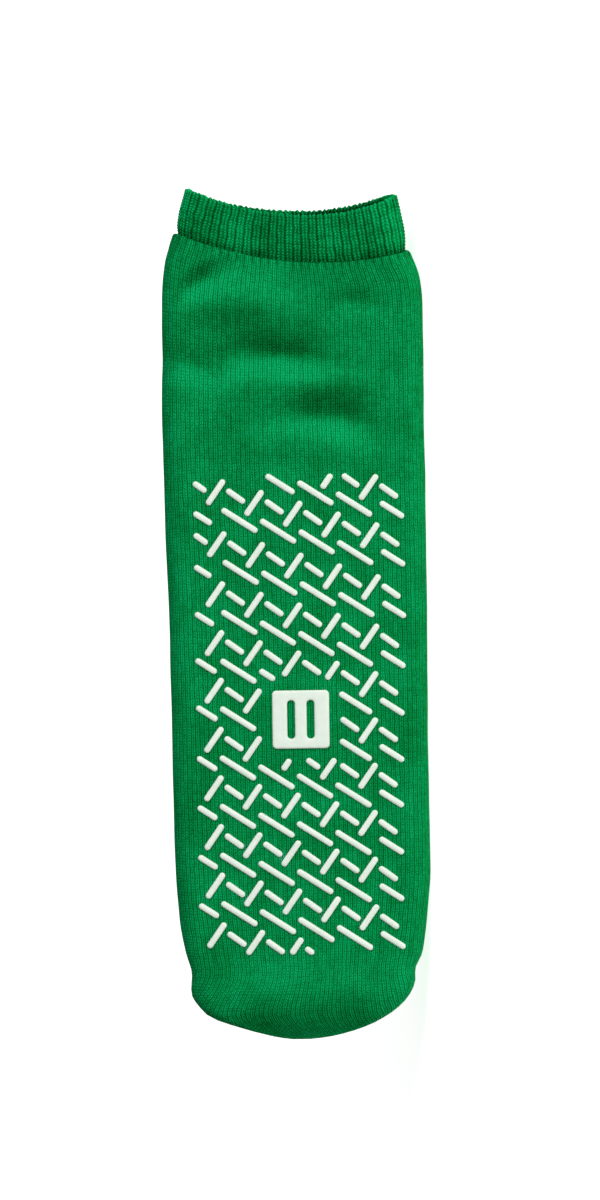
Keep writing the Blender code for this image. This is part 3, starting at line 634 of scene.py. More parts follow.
def face_corners(grid):
    """The four corners of each face between rings, from a grid with its closing column."""
    return np.stack([grid[:-1, :-1], grid[1:, :-1], grid[1:, 1:], grid[:-1, 1:]], axis=2)


def tube_mesh(name, grid, corner_uvs, attributes, poles=(), loop=False):
    """A smooth mesh from rings of points, with wale and course counts as its UV map. A first and
    a last pole close its two ends, or a loop joins its last ring to its first."""
    rings, columns = grid.shape[:2]
    index = np.arange(rings * columns).reshape(rings, columns)
    closed = np.concatenate([index, index[:, :1]], axis=1)
    if loop:
        closed = np.concatenate([closed, closed[:1]])
    vertices = grid.reshape(-1, 3).tolist()
    polygons = face_corners(closed).reshape(-1, 4).tolist()
    uvs = corner_uvs.reshape(-1, 2).tolist()
    for pole, ring, shared, order in zip(poles, (0, -1), ([0, 3], [1, 2]), (1, -1)):
        if pole is None:
            continue
        for column in range(columns):
            corners = corner_uvs[ring, column][shared]
            polygons.append([len(vertices), *closed[ring, column:column + 2].tolist()[::order]])
            uvs += [corners.mean(axis=0).tolist(), *corners[::order].tolist()]
        vertices.append(list(pole))
    mesh = bpy.data.meshes.new(name)
    mesh.from_pydata(vertices, [], polygons)
    layer = mesh.uv_layers.new(name="knit")
    layer.data.foreach_set("uv", np.array(uvs, np.float32).ravel())
    for title, values in attributes.items():
        attribute = mesh.attributes.new(title, "FLOAT", "POINT")
        padded = np.zeros(len(vertices), np.float32)
        padded[:values.size] = values.ravel()
        attribute.data.foreach_set("value", padded)
    mesh.shade_smooth()
    mesh.update()
    return mesh


def add_piece(name, mesh, material, slot, *nodes):
    """Put a finished mesh in the scene, in place of the solids that it stands for."""
    mesh.materials.append(material)
    piece = bpy.data.objects.new(name, mesh)
    bpy.context.scene.collection.objects.link(piece)
    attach(piece, "root")
    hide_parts(*nodes)
    return piece


def sole_relief(places, points, facing):
    """All the slow relief of the slack knit, over the skin of the solids."""
    return crease_relief(places, facing) + slack_relief(places, points) + notch_relief(places)


def seam_along(spot):
    """Where the linked seam crosses a spot of the outline on the instep side."""
    share = np.clip((spot - SEAM_FIRST_SPOT) / (SEAM_LAST_SPOT - SEAM_FIRST_SPOT), 0.0, 1.0)
    ease = np.sin(np.minimum(1.0, share / SEAM_EASE) * math.pi / 2.0)
    return SEAM_AT_TOP + (SEAM_AT_FLOOR - SEAM_AT_TOP) * ease


def tip_travel(points, column):
    """Length along a column of stitches, from the toe tip to each ring."""
    steps = np.linalg.norm(np.diff(points[:, column], axis=0), axis=-1)
    start = np.linalg.norm(points[0, column] - to_world(TOE_TIP))
    return start + np.concatenate([[0.0], np.cumsum(steps)])


def knit_counts(alongs, places, points, spots, wales, total):
    """Wale and course counts over the sole, over the tip from the instep side, and round the
    outline."""
    on_flat = (spots >= FLAT_SPOTS[0]) & (spots < FLAT_SPOTS[1])
    flat_wales = wales[on_flat]
    off_tip = np.abs(places[-1, :, 1] - TOE_TIP_ACROSS)
    middle, back = (int(np.argmin(off_tip + apart)) for apart in (~on_flat, on_flat))
    closed_wales = np.append(wales, total)
    closed_across = np.concatenate([places[..., 1], places[:, :1, 1]], axis=1)
    sole, over_tip, plain = (np.zeros((len(alongs), len(closed_wales), 2)) for side in range(3))
    for i, along in enumerate(alongs):
        low, high = (edge.x for edge in sole_flat(along))
        pitch = (high - low) / (flat_wales[-1] - flat_wales[0] + 1.0 / COLUMNS_A_WALE)
        tip_wale = flat_wales[0] + (TOE_TIP_ACROSS - low) / pitch
        share = np.where(closed_wales > tip_wale, cap_share(along, TOE_SQUARENESS_TOP),
                         cap_share(along, TOE_SQUARENESS_FLOOR))
        fan = 1.0 - TOE_FAN * max(0.0, 1.0 - along / FAN_REACH) ** 2
        sole[i, :, 0] = tip_wale + share * (closed_wales - tip_wale) * fan
        over_tip[i, :, 0] = tip_wale + (closed_across[i] - TOE_TIP_ACROSS) / pitch * fan
    plain[..., 0] = closed_wales
    sole[..., 1] = plain[..., 1] = tip_travel(points, middle)[:, None] / COURSE_PITCH
    over_tip[..., 1] = -tip_travel(points, back)[:, None] / COURSE_PITCH
    return sole, over_tip, plain


def knit_rings():
    """Where the knit's rings lie along the sock: close together at the toe, then even."""
    turns = [i / CAP_RINGS * math.pi / 2.0 for i in range(1, CAP_RINGS)]
    steps = round((LEG_LENGTH - TOE_CAP) / RING_STEP)
    return ([TOE_CAP * (1.0 - math.cos(turn)) for turn in turns]
            + [TOE_CAP + (LEG_LENGTH - TOE_CAP) * i / steps for i in range(steps + 1)])


def stain_shares(places, smudges):
    """How strongly smudges of thin gel stain each vertex."""
    stain = np.zeros(places.shape[:-1])
    for along, across, size, strength in smudges:
        off = ((places[..., :2] - (along, across)) ** 2).sum(axis=-1) / size ** 2
        stain = np.maximum(stain, strength * np.exp(-off))
    return stain


def painted_fold_shade(alongs, places, facing, wales):
    """Painted shade at each vertex, from -1 to 1, kept as the fold attribute. Crease slopes that look
    towards the toe are painted dark, those towards the collar light, and the gathers below the cuff get a
    painted zigzag of shade."""
    ahead = np.array([FOLD_STEP, 0.0, 0.0])
    rise = crease_relief(places + ahead, facing) - crease_relief(places - ahead, facing)
    gather = np.exp(-((LEG_LENGTH - np.array(alongs)[:, None]) / GATHER_REACH) ** 2)
    painted_zigzag_shade = GATHER_PAINTED_SHADE + GATHER_SHADE_ZIGZAG * np.cos(math.pi * wales)[None, :]
    return np.clip(rise / (2.0 * FOLD_STEP * FOLD_SLOPE) + gather * painted_zigzag_shade, -1.0, 1.0)


def make_knit(material, smudges):
    """Foot and leg: the outer face with its wales and creases, and a tucked edge."""
    listed, wales, total = spread_columns(FOOT_AND_LEG, LEG_LENGTH * REFERENCE_SHARE, WALE_PITCH,
                                          COLUMNS_A_WALE)
    spots = np.array(listed)
    alongs = knit_rings()
    places = np.array([sock_ring(FOOT_AND_LEG, along, listed) for along in alongs])
    skin = to_world(places)
    normals = grid_normals(skin)
    facing = -(normals @ INWARDS)
    sole, over_tip, plain = knit_counts(alongs, places, skin, spots, wales, total)
    on_sole = (spots >= SOLE_SPOTS[0]) & (spots < SOLE_SPOTS[1])
    in_pocket = np.array(alongs)[:, None] < seam_along(spots)[None, :]
    chosen = np.where(on_sole, sole[:, :-1, 0], np.where(in_pocket, over_tip[:, :-1, 0], plain[:, :-1, 0]))
    slow = sole_relief(places, skin, facing)
    relief = slow + (wale_height(chosen) - 1.0) * WALE_RELIEF
    outside = skin + normals * relief[..., None]
    outside[..., 2] = np.maximum(outside[..., 2], FLOOR_SKIN)
    edge = [skin[-1] - normals[-1] * inset + np.array([ahead, 0.0, 0.0]) for ahead, inset in EDGE_TUCK]
    in_pocket = in_pocket[:-1, :, None, None]
    corners = np.where(in_pocket, face_corners(over_tip), face_corners(plain))
    corners = np.where(on_sole[None, :, None, None], face_corners(sole), corners)
    tuck = [plain[-1] + np.array([0.0, TUCK_COURSE * i]) for i in range(len(edge) + 1)]
    # The fold attribute carries painted shade and painted light from the crease slopes and the gathers below
    # the cuff
    fold = painted_fold_shade(alongs, places, facing, wales)
    attributes = {"bleed": stain_shares(places, smudges) * (facing > 0.5),
                  "fold": np.concatenate([fold] + [fold[-1:]] * len(edge))}
    mesh = tube_mesh("knit", np.concatenate([outside, edge]),
                     np.concatenate([corners, face_corners(np.array(tuck))]), attributes,
                     (to_world(TOE_TIP),))
    add_piece("fine_knit", mesh, material, "green_knit", "knit_upper_and_sole")
    make_lining(skin + normals * (slow - KNIT_WALL)[..., None], plain, material)


def make_lining(inside, counts, material):
    """The knit's inner face, from under the cuff to the toe."""
    inside[..., 2] = np.maximum(inside[..., 2], KNIT_WALL)
    inside = inside[LINING_START::LINING_RINGS, ::COLUMNS_A_WALE][::-1]
    counts = counts[LINING_START::LINING_RINGS, ::COLUMNS_A_WALE][::-1]
    grid = np.concatenate([inside[:1] + np.array([LINING_RISE, 0.0, 0.0]), inside])
    uv = np.concatenate([counts[:1] + np.array([0.0, 1.0]), counts])
    tip = to_world(TOE_TIP) + np.array([KNIT_WALL, 0.0, 0.0])
    mesh = tube_mesh("lining", grid, face_corners(uv), {}, (None, tip))
    add_piece("knit_lining", mesh, material, "green_knit", "knit_upper_and_sole")


def cuff_profile():
    """The cuff's section, as rows of height above the gather line and inset from its face."""
    steps = round(CUFF_LIP / (COURSE_PITCH / ROWS_A_COURSE))
    face = [CUFF_FOOT_HEIGHT + (CUFF_LIP - CUFF_FOOT_HEIGHT) * i / steps for i in range(steps + 1)]
    turns = [math.pi * turn / RIM_STEPS for turn in range(1, RIM_STEPS)]
    rim = [(CUFF_LIP + RIM_RADIUS * math.sin(turn), RIM_RADIUS * (1.0 - math.cos(turn)))
           for turn in turns]
    lining = [(CUFF_LIP * (1.0 - i / CUFF_LINING_STEPS), CUFF_WALL)
              for i in range(CUFF_LINING_STEPS + 1)]
    return np.array([*CUFF_FOOT, *((height, 0.0) for height in face), *rim, *lining])


def rib_relief(ribs, courses, skin, waist):
    """Height of the ribs' stitches and the cuff's swells, less its drawn-in waist."""
    side = np.abs(ribs - np.floor(ribs) - 0.5)[None, :] * 2.0
    vee = 0.5 + 0.5 * np.cos(2.0 * np.pi * (courses[:, None] + VEE_SLOPE * side))
    relief = np.sin(np.pi * side) * vee * STITCH_RELIEF - side ** RIB_SHARPNESS * RIB_RELIEF
    swells = sum(soft_noise(skin, swell) for swell in RIB_SWELLS)
    return relief + swells - WAIST_DEPTH * waist[:, None]


def make_cuff(material):
    """The ribbed cuff, with each rib's stitches raised, a scalloped rim and a rolled lower edge."""
    spots, ribs, total = spread_columns(CUFF, LEG_LENGTH + CUFF_HEIGHT / 2.0, RIB_PITCH,
                                        COLUMNS_A_RIB)
    profile = cuff_profile()
    heights, insets = profile.T
    levels = np.minimum(heights, CUFF_LIP)
    places = np.array([sock_ring(CUFF, LEG_LENGTH + level, spots) for level in levels.tolist()])
    skin = to_world(places)
    base = [sock_ring(CUFF, LEG_LENGTH + CUFF_LIP * i / NORMAL_RINGS, spots)
            for i in range(NORMAL_RINGS + 1)]
    nearest = np.round(levels / CUFF_LIP * NORMAL_RINGS).astype(int)
    normals = grid_normals(to_world(base))[nearest]
    steps = np.linalg.norm(np.diff(profile, axis=0), axis=1)
    travel = np.concatenate([[0.0], np.cumsum(steps)])
    courses = travel / COURSE_PITCH
    waist = np.exp(-(heights / WAIST_REACH) ** 2)
    turns = np.pi * insets / CUFF_WALL
    on_rim = np.sin(turns) * (heights > CUFF_LIP)
    outwards = normals * np.cos(turns)[:, None, None]
    outwards[..., 0] += on_rim[:, None]
    relief = rib_relief(ribs, courses, skin, waist)
    grid = skin - normals * insets[:, None, None] + outwards * relief[..., None]
    scallops = np.abs(np.cos(math.pi * ribs * round(total * RIM_SCALLOPS) / total))
    tip_lift = np.clip(1.0 - places[..., 1] / RIM_TIP_REACH, 0.0, 1.0) ** 2
    grid[..., 0] += (heights - levels)[:, None]
    grid[..., 0] += on_rim[:, None] * (scallops - 1.0)[None, :] * RIM_SCALLOP_DEPTH
    grid[..., 0] += RIM_TIP_LIFT * tip_lift * np.clip(travel / CUFF_LIP, 0.0, 1.0)[:, None]
    grid[..., 2] = np.maximum(grid[..., 2], FLOOR_SKIN)
    # Painted shade at the cuff's drawn-in foot and on its inner face, and painted light on the rim's crown,
    # carried by the fold attribute
    inner = np.clip(insets / RIM_RADIUS - 1.0, 0.0, 1.0)
    shade = np.clip(waist - on_rim * RIM_PAINTED_LIGHT + inner, -1.0, 1.0)
    fold = np.broadcast_to(shade[:, None], grid.shape[:2])
    uv = np.stack(np.meshgrid(np.append(ribs, total), np.append(courses, courses[-1] + 1.0)), axis=-1)
    mesh = tube_mesh("cuff", grid, face_corners(uv), {"fold": fold}, loop=True)
    add_piece("fine_rib", mesh, material, "green_rib", "ribbed_cuff")


def make_toe_seam(material):
    """The linked seam over the instep side of the toe, its stitches wrapped over the ridge."""
    spots = np.linspace(SEAM_FIRST_SPOT, SEAM_LAST_SPOT, SEAM_RINGS)
    places, ahead = (
        np.array([sock_ring(FOOT_AND_LEG, float(seam_along(spot)) + step, [spot])[0] for spot in spots])
        for step in (0.0, SEAM_PROBE))
    spine = to_world(places)
    onwards = unit(np.gradient(spine, axis=0))
    out = unit(np.cross(to_world(ahead) - spine, onwards))
    side = np.cross(out, onwards)
    spine = spine + out * notch_relief(places)[:, None]
    steps = np.linalg.norm(np.diff(spine, axis=0), axis=-1)
    run = np.concatenate([[0.0], np.cumsum(steps)])
    stitches = 2.0 * np.pi * run / SEAM_STITCH
    wrap = 0.5 + 0.5 * np.cos(stitches)
    taper = np.sin(np.pi * np.clip(run / run[-1], SEAM_BLUNT, 1.0 - SEAM_BLUNT)) ** SEAM_TAPER
    rings = []
    for turn in range(SEAM_SIDES):
        angle = 2.0 * np.pi * turn / SEAM_SIDES
        height = max(math.sin(angle), -SEAM_SINK)
        swell = 1.0 - SEAM_WRAP * wrap * (height > 0.0)
        sway = SEAM_SWAY * np.cos(stitches + math.pi * math.cos(angle) / 2.0)
        sideways = SEAM_WIDTH / 2.0 * (math.cos(angle) * swell + sway) * taper
        raised = SEAM_HEIGHT * height * swell * taper
        rings.append(spine + side * sideways[:, None] + out * raised[:, None])
    grid = np.stack(rings, axis=1)
    grid[..., 2] = np.maximum(grid[..., 2], FLOOR_SKIN)
    turns = np.linspace(0.0, 2.0, SEAM_SIDES + 1)
    uv = np.stack(np.meshgrid(turns, run / COURSE_PITCH), axis=-1)
    mesh = tube_mesh("seam", grid, face_corners(uv), {}, (spine[0], spine[-1]))
    add_piece("linked_seam", mesh, material, "green_knit", "toe_seam")


def clip_polygon(points, axis, limit, keep_above):
    """Cut a flat outline along a straight line across or along the sole."""
    sign = 1.0 if keep_above else -1.0
    kept = []
    for i, point in enumerate(points):
        before = points[i - 1]
        inside = (point[axis] - limit) * sign
        before_inside = (before[axis] - limit) * sign
        if inside * before_inside < 0.0:
            share = before_inside / (before_inside - inside)
            kept.append(tuple(b + (p - b) * share for p, b in zip(point, before)))
        if inside >= 0.0:
            kept.append(point)
    return kept


def print_clip(points):
    """Keep what lies on the printed area and off the clear window."""
    for axis, limit, above in ((0, PRINT_LOW, True), (0, PRINT_HIGH, False),
                               (1, PRINT_FLOOR_EDGE, True), (1, PRINT_TOP_EDGE, False)):
        points = clip_polygon(points, axis, limit, above)
    middle = (sum(p[0] for p in points) / max(len(points), 1),
              sum(p[1] for p in points) / max(len(points), 1))
    off_along = (middle[0] - PAD_ALONG) / WINDOW_LENGTH
    off_across = (middle[1] - PAD_ACROSS) / WINDOW_WIDTH
    if abs(off_along) >= abs(off_across):
        above = off_along > 0.0
        edge = PAD_ALONG + (WINDOW_LENGTH if above else -WINDOW_LENGTH) / 2.0
        axis, other, other_middle, reach = 0, 1, PAD_ACROSS, WINDOW_WIDTH / 2.0
    else:
        above = off_across > 0.0
        edge = PAD_ACROSS + (WINDOW_WIDTH if above else -WINDOW_WIDTH) / 2.0
        axis, other, other_middle, reach = 1, 0, PAD_ALONG, WINDOW_LENGTH / 2.0
    near = any(abs(p[other] - other_middle) < reach for p in points)
    return clip_polygon(points, axis, edge, above) if near else points


def signed_area(points):
    """Area of a flat outline, below 0 where the outline runs the other way round."""
    return sum(points[i - 1][0] * p[1] - p[0] * points[i - 1][1] for i, p in enumerate(points)) / 2.0


def bar_outline(ends):
    """Flat outline of a round-ended bar, with points close enough to bend with the sole."""
    (along, across), (far_along, far_across) = ends
    heading = math.atan2(far_across - across, far_along - along)
    radius = BAR_WIDTH / 2.0
    length = math.hypot(far_along - along, far_across - across)
    pieces = max(2, round(length / BAR_STEP))
    points = []
    for centre, other, turn in ((ends[1], ends[0], 0.0), (ends[0], ends[1], math.pi)):
        for step in range(-END_STEPS, END_STEPS + 1):
            angle = heading + turn + step / END_STEPS * math.pi / 2.0
            points.append((centre[0] + math.cos(angle) * radius, centre[1] + math.sin(angle) * radius))
        last = points[-1]
        for step in range(1, pieces):
            points.append(tuple(p + (o - c) * step / pieces for p, o, c in zip(last, other, centre)))
    return points


def shorter_ends(outline, angle):
    """The two end centres of the round-ended bar that holds as much gel as a cut outline."""
    area = signed_area(outline)
    centre = [0.0, 0.0]
    for i, point in enumerate(outline):
        before = outline[i - 1]
        weight = (before[0] * point[1] - point[0] * before[1]) / (6.0 * area)
        for axis in (0, 1):
            centre[axis] += (before[axis] + point[axis]) * weight
    round_ends = BAR_WIDTH * (1.0 - math.pi / 4.0)
    length = abs(area) / BAR_WIDTH + round_ends
    return bar_ends(centre, max(length, BAR_WIDTH * LEAST_BAR_SHARE), angle)


def bar_ends(centre, length, angle):
    """The two end centres of a bar. The angle rises towards the collar and the floor edge."""
    half = (length - BAR_WIDTH) / 2.0
    rise = math.sin(angle) * half
    drop = math.cos(angle) * half
    along, across = centre
    return (along - rise, across + drop), (along + rise, across - drop)


def row_bars(row):
    """Ends and outlines of the bars of one diagonal row."""
    bars = []
    slant = ROW_SLANT - SLANT_EASE * row.number + row.slant * COLUMN_PITCH
    for column in range(row.first, LAST_COLUMN + 1):
        along = FIRST_CROSS_ALONG - ROW_PITCH * (row.number - row.rise) - slant * column
        across = FIRST_CROSS_ACROSS + COLUMN_DRIFT * row.number - COLUMN_PITCH * (column - row.drift)
        first = column == FIRST_COLUMN
        last = column == LAST_COLUMN
        pieces = []
        if column <= row.crosses:
            pieces.append(((0.0, 0.0), CROSS_LENGTH, CROSS_ANGLE))
            if not first or row.number <= LAST_EDGE_SHORT_ROW:
                pieces.append((SHORT_STEP, SHORT_LENGTH, SHORT_ANGLE))
        if column <= row.longs:
            slip = row.slip * COLUMN_PITCH if first else 0.0
            slipped = (LONG_STEP[0] - slip * SLIP_FALL, LONG_STEP[1] + slip)
            step = EDGE_LONG_STEP if last else slipped
            pieces.append((step, EDGE_LONG_LENGTH if last else LONG_LENGTH, LONG_ANGLE))
        for step, length, angle in pieces:
            ends = bar_ends((along + step[0], across + step[1]), length, angle)
            whole = bar_outline(ends)
            outline = print_clip(whole)
            if outline == whole:
                bars.append((ends, whole))
            elif len(outline) > 2 and abs(signed_area(outline)) > LEAST_BAR_AREA:
                ends = shorter_ends(outline, angle)
                bars.append((ends, bar_outline(ends)))
    return bars


def lay_on_sole(flat):
    """From rows of along, across and height over the knit to rows of X, Y and Z."""
    flat = np.asarray(flat, float)
    places = np.zeros_like(flat)
    for i, (along, across, height) in enumerate(flat):
        low, high = (edge.x for edge in sole_flat(along))
        fraction = min(max((across - low) / (high - low), 0.0), 1.0)
        rise = SOLE_CROWN * math.sin(math.pi * fraction) ** 2
        tilt = SOLE_CROWN * math.pi / (high - low) * math.sin(2.0 * math.pi * fraction)
        places[i] = (along, across - tilt * height, -rise)
    skin = to_world(places)
    relief = sole_relief(places, skin, np.ones(len(flat)))
    places[:, 2] -= flat[:, 2] + relief
    return to_world(places)


def core_point(point, ends):
    """Nearest point of the line between a bar's two end centres."""
    (along, across), (far_along, far_across) = ends
    run = (far_along - along, far_across - across)
    share = ((point[0] - along) * run[0] + (point[1] - across) * run[1]) / (run[0] ** 2 + run[1] ** 2)
    share = min(max(share, 0.0), 1.0)
    return along + run[0] * share, across + run[1] * share


def print_wobble(spot, size):
    """A small shift that keeps the gel's edges from being perfectly even."""
    return noise.noise_vector(Vector(spot) / size) * BAR_WOBBLE


def ring_faces(start, count):
    """Faces between a ring of vertices and the ring that follows it."""
    return [(start + i, start + (i + 1) % count, start + count + (i + 1) % count, start + count + i)
            for i in range(count)]


def add_bar(vertices, faces, ends, outline, number):
    """One rounded bar: rings from the knit up to its crown, drawn in towards its middle line."""
    first = len(vertices)
    count = len(outline)
    height = BAR_HEIGHT * (1.0 + BAR_UNEVENNESS * math.sin(number * BAR_TURN))
    for inset, rise in BAR_PROFILE:
        for point in outline:
            middle = core_point(point, ends)
            wobble = print_wobble((*point, inset * WOBBLE_INSET), BAR_WOBBLE_SIZE)
            vertices.append((point[0] + (middle[0] - point[0]) * inset + wobble.x,
                             point[1] + (middle[1] - point[1]) * inset + wobble.y,
                             height * rise + wobble.z * (rise > 0.5)))
    for ring in range(len(BAR_PROFILE) - 1):
        faces += ring_faces(first + ring * count, count)
    crown = first + (len(BAR_PROFILE) - 1) * count
    faces.append(tuple(range(crown, crown + count)))


def print_mesh(name, vertices, faces):
    """A smooth mesh of gel print, laid on the sole, with its height as an attribute."""
    mesh = bpy.data.meshes.new(name)
    mesh.from_pydata(lay_on_sole(vertices).tolist(), [], faces)
    attribute = mesh.attributes.new("rise", "FLOAT", "POINT")
    attribute.data.foreach_set("value", np.array([v[2] / BAR_HEIGHT for v in vertices], np.float32))
    build = bmesh.new()
    build.from_mesh(mesh)
    bmesh.ops.recalc_face_normals(build, faces=build.faces)
    build.to_mesh(mesh)
    build.free()
    mesh.shade_smooth()
    return mesh


def find_owners():
    """A search tree of the solid bars' vertices, and the row that each vertex belongs to."""
    names = sorted(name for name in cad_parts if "tread" in name)
    known = [(vertex.co, name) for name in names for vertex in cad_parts[name].data.vertices]
    tree = kdtree.KDTree(len(known))
    for number, (spot, name) in enumerate(known):
        tree.insert(spot, number)
    tree.balance()
    return tree, [name for spot, name in known]


def make_bars(material):
    """The grip bars, one piece for each row of the solids, and the smudges between their ends."""
    tree, owners = find_owners()
    rows = {}
    smudges = []
    number = 0
    for row in ROWS:
        bars = row_bars(row)
        smudges += find_smudges(bars)
        for ends, outline in bars:
            number += 1
            middle = [sum(p[axis] for p in outline) / len(outline) for axis in (0, 1)]
            spot = lay_on_sole([(*middle, BAR_HEIGHT)])[0]
            owner = owners[tree.find(Vector(spot))[1]]
            vertices, faces = rows.setdefault(owner, ([], []))
            add_bar(vertices, faces, ends, outline, number)
    for name, (vertices, faces) in sorted(rows.items()):
        mesh = print_mesh(name, vertices, faces)
        add_piece(name.replace("tread_row", "grip_bars"), mesh, material, "grip_print", name)
    return smudges


def find_smudges(bars):
    """Faint spots of thin gel where two bars' ends nearly meet."""
    smudges = []
    for i, (ends, outline) in enumerate(bars):
        for other_ends, other in bars[:i]:
            gap, near, far = min((math.dist(a, b), a, b) for a in outline for b in other)
            if gap < SMUDGE_REACH:
                spot = ((near[0] + far[0]) / 2.0, (near[1] + far[1]) / 2.0)
                chance = noise.noise(Vector((*spot, 0.0)) / SMUDGE_NOISE)
                strength = min(max(SMUDGE_STRENGTH + SMUDGE_CONTRAST * chance, 0.0), 1.0)
                smudges.append((*spot, SMUDGE_SIZE + SMUDGE_SPREAD * chance, strength))
    return smudges


def rounded_rectangle(length, width, radius, middle):
    """Outline of a rectangle with round corners."""
    points = []
    for quarter in range(4):
        side = (1.0 if quarter in (0, 3) else -1.0, 1.0 if quarter < 2 else -1.0)
        centre = (middle[0] + side[0] * (length / 2.0 - radius),
                  middle[1] + side[1] * (width / 2.0 - radius))
        for step in range(CORNER_STEPS + 1):
            angle = math.radians(90.0 * quarter + 90.0 * step / CORNER_STEPS)
            points.append((centre[0] + math.cos(angle) * radius, centre[1] + math.sin(angle) * radius))
    return points


def divide_outline(points, step):
    """The same outline with no piece longer than a step."""
    divided = []
    for i, end in enumerate(points):
        start = points[i - 1]
        pieces = max(1, round(math.dist(start, end) / step))
        divided += [tuple(s + (e - s) * k / pieces for s, e in zip(start, end)) for k in range(pieces)]
    return divided


def pad_rings(middle, length, width, radius, way):
    """Rings from the knit up, round the pad where way is 1 and round a slot where it is -1."""
    rings = []
    for inset, rise in PAD_PROFILE:
        draw = inset * way
        ring = rounded_rectangle(length - 2.0 * draw, width - 2.0 * draw,
                                 max(radius - draw, LEAST_CORNER), middle)
        rings.append(match_outline(rings[0], ring) if rings else divide_outline(ring, PAD_STEP))
    return rings


def fill_top(vertices, faces, edges):
    """Add the pad's top, between its outline and its slots."""
    build = bmesh.new()
    verts = [build.verts.new(v) for v in vertices]
    for face in faces:
        build.faces.new([verts[i] for i in face])
    rim = [build.edges.get((verts[a], verts[b])) for a, b in edges]
    bmesh.ops.triangle_fill(build, use_beauty=True, edges=rim, normal=(0.0, 0.0, 1.0))
    build.verts.index_update()
    flat = [tuple(v.co) for v in build.verts]
    polygons = [tuple(v.index for v in face.verts) for face in build.faces]
    build.free()
    return flat, polygons


def make_size_pad(material):
    """The plain square pad with its two slots, its edges rounded over."""
    outlines = [((PAD_ALONG, PAD_ACROSS), PAD_LENGTH, PAD_WIDTH, PAD_CORNER, 1.0)]
    for side in (-1.0, 1.0):
        middle = (PAD_ALONG, PAD_ACROSS + side * SLOT_SPACING / 2.0)
        outlines.append((middle, SLOT_LENGTH, SLOT_WIDTH, SLOT_ROUNDING, -1.0))
    vertices, faces, edges = [], [], []
    for outline in outlines:
        for number, ring in enumerate(pad_rings(*outline)):
            rise = PAD_PROFILE[number][1]
            start = len(vertices)
            count = len(ring)
            for point in ring:
                wobble = print_wobble((*point, rise), PAD_WOBBLE_SIZE)
                vertices.append((point[0] + wobble.x, point[1] + wobble.y, BAR_HEIGHT * rise))
            if number > 0:
                faces += ring_faces(start - count, count)
        edges += [(start + i, start + (i + 1) % count) for i in range(count)]
    mesh = print_mesh("size_pad", *fill_top(vertices, faces, edges))
    add_piece("print_pad", mesh, material, "grip_print", "size_pad")


def match_outline(pattern, outline):
    """Points of an outline, one for each point of a pattern with the same corners."""
    total = sum(math.dist(outline[i - 1], p) for i, p in enumerate(outline))
    whole = sum(math.dist(pattern[i - 1], p) for i, p in enumerate(pattern))
    closed = outline[-1:] + outline
    matched = []
    travelled = 0.0
    for i, point in enumerate(pattern):
        if i > 0:
            travelled += math.dist(pattern[i - 1], point) / whole * total
        left = travelled
        for start, end in zip(closed, closed[1:]):
            length = math.dist(start, end)
            if left <= length:
                matched.append(tuple(s + (e - s) * left / max(length, 1e-9) for s, e in zip(start, end)))
                break
            left -= length
        else:
            matched.append(closed[-1])
    return matched


class Shader:
    """A material's surface, with short ways to add nodes and join them."""

    def __init__(self, name):
        self.material = bpy.data.materials.new(name)
        self.material.use_nodes = True
        self.tree = self.material.node_tree
        self.surface = self.tree.nodes["Principled BSDF"]
        self.place = self.node("ShaderNodeTexCoord").outputs["Object"]

    def node(self, kind, **inputs):
        """A node with some of its inputs set or joined."""
        made = self.tree.nodes.new(kind)
        self.fill(made, **inputs)
        return made

    def fill(self, node, **inputs):
        """Set or join some of a node's inputs. An underscore stands for a space."""
        for title, value in inputs.items():
            self.put(node.inputs[title.replace("_", " ")], value)

    def put(self, socket, value):
        """Set an input to a constant, or join it to an output."""
        if isinstance(value, bpy.types.NodeSocket):
            self.tree.links.new(value, socket)
        else:
            socket.default_value = value

    def attribute(self, title):
        """A value that the mesh keeps at its vertices."""
        made = self.tree.nodes.new("ShaderNodeAttribute")
        made.attribute_name = title
        return made.outputs["Fac"]

    def math(self, operation, *values):
        """One step of arithmetic."""
        made = self.tree.nodes.new("ShaderNodeMath")
        made.operation = operation
        for socket, value in zip(made.inputs, values):
            self.put(socket, value)
        return made.outputs[0]

    def noise(self, vector, grain):
        """Smooth noise between 0 and 1."""
        return self.node("ShaderNodeTexNoise", Vector=vector, Scale=grain.scale, Detail=grain.detail,
                         Roughness=grain.rough).outputs["Fac"]

    def blend(self, share, first, second):
        """A colour between two colours."""
        made = self.tree.nodes.new("ShaderNodeMix")
        made.data_type = "RGBA"
        for number, value in ((0, share), (6, first), (7, second)):
            self.put(made.inputs[number], value)
        return made.outputs[2]

    def bump(self, height, distance):
        """Raise the surface by a height between 0 and 1 times a distance."""
        made = self.node("ShaderNodeBump", Height=height, Distance=distance, Strength=1.0)
        self.put(self.surface.inputs["Normal"], made.outputs["Normal"])


def wandering_counts(s):
    """Wale and course counts that wander a little, as in uneven knit."""
    uv = s.tree.nodes.new("ShaderNodeUVMap")
    uv.uv_map = "knit"
    split = s.node("ShaderNodeSeparateXYZ", Vector=uv.outputs[0])
    wander = s.math("SUBTRACT", s.noise(s.place, WALE_WANDER), 0.5)
    drift = s.math("SUBTRACT", s.noise(s.place, COURSE_WANDER), 0.5)
    return (s.math("MULTIPLY_ADD", wander, WALE_WANDER_SIZE, split.outputs[0]),
            s.math("MULTIPLY_ADD", drift, COURSE_WANDER_SIZE, split.outputs[1]))


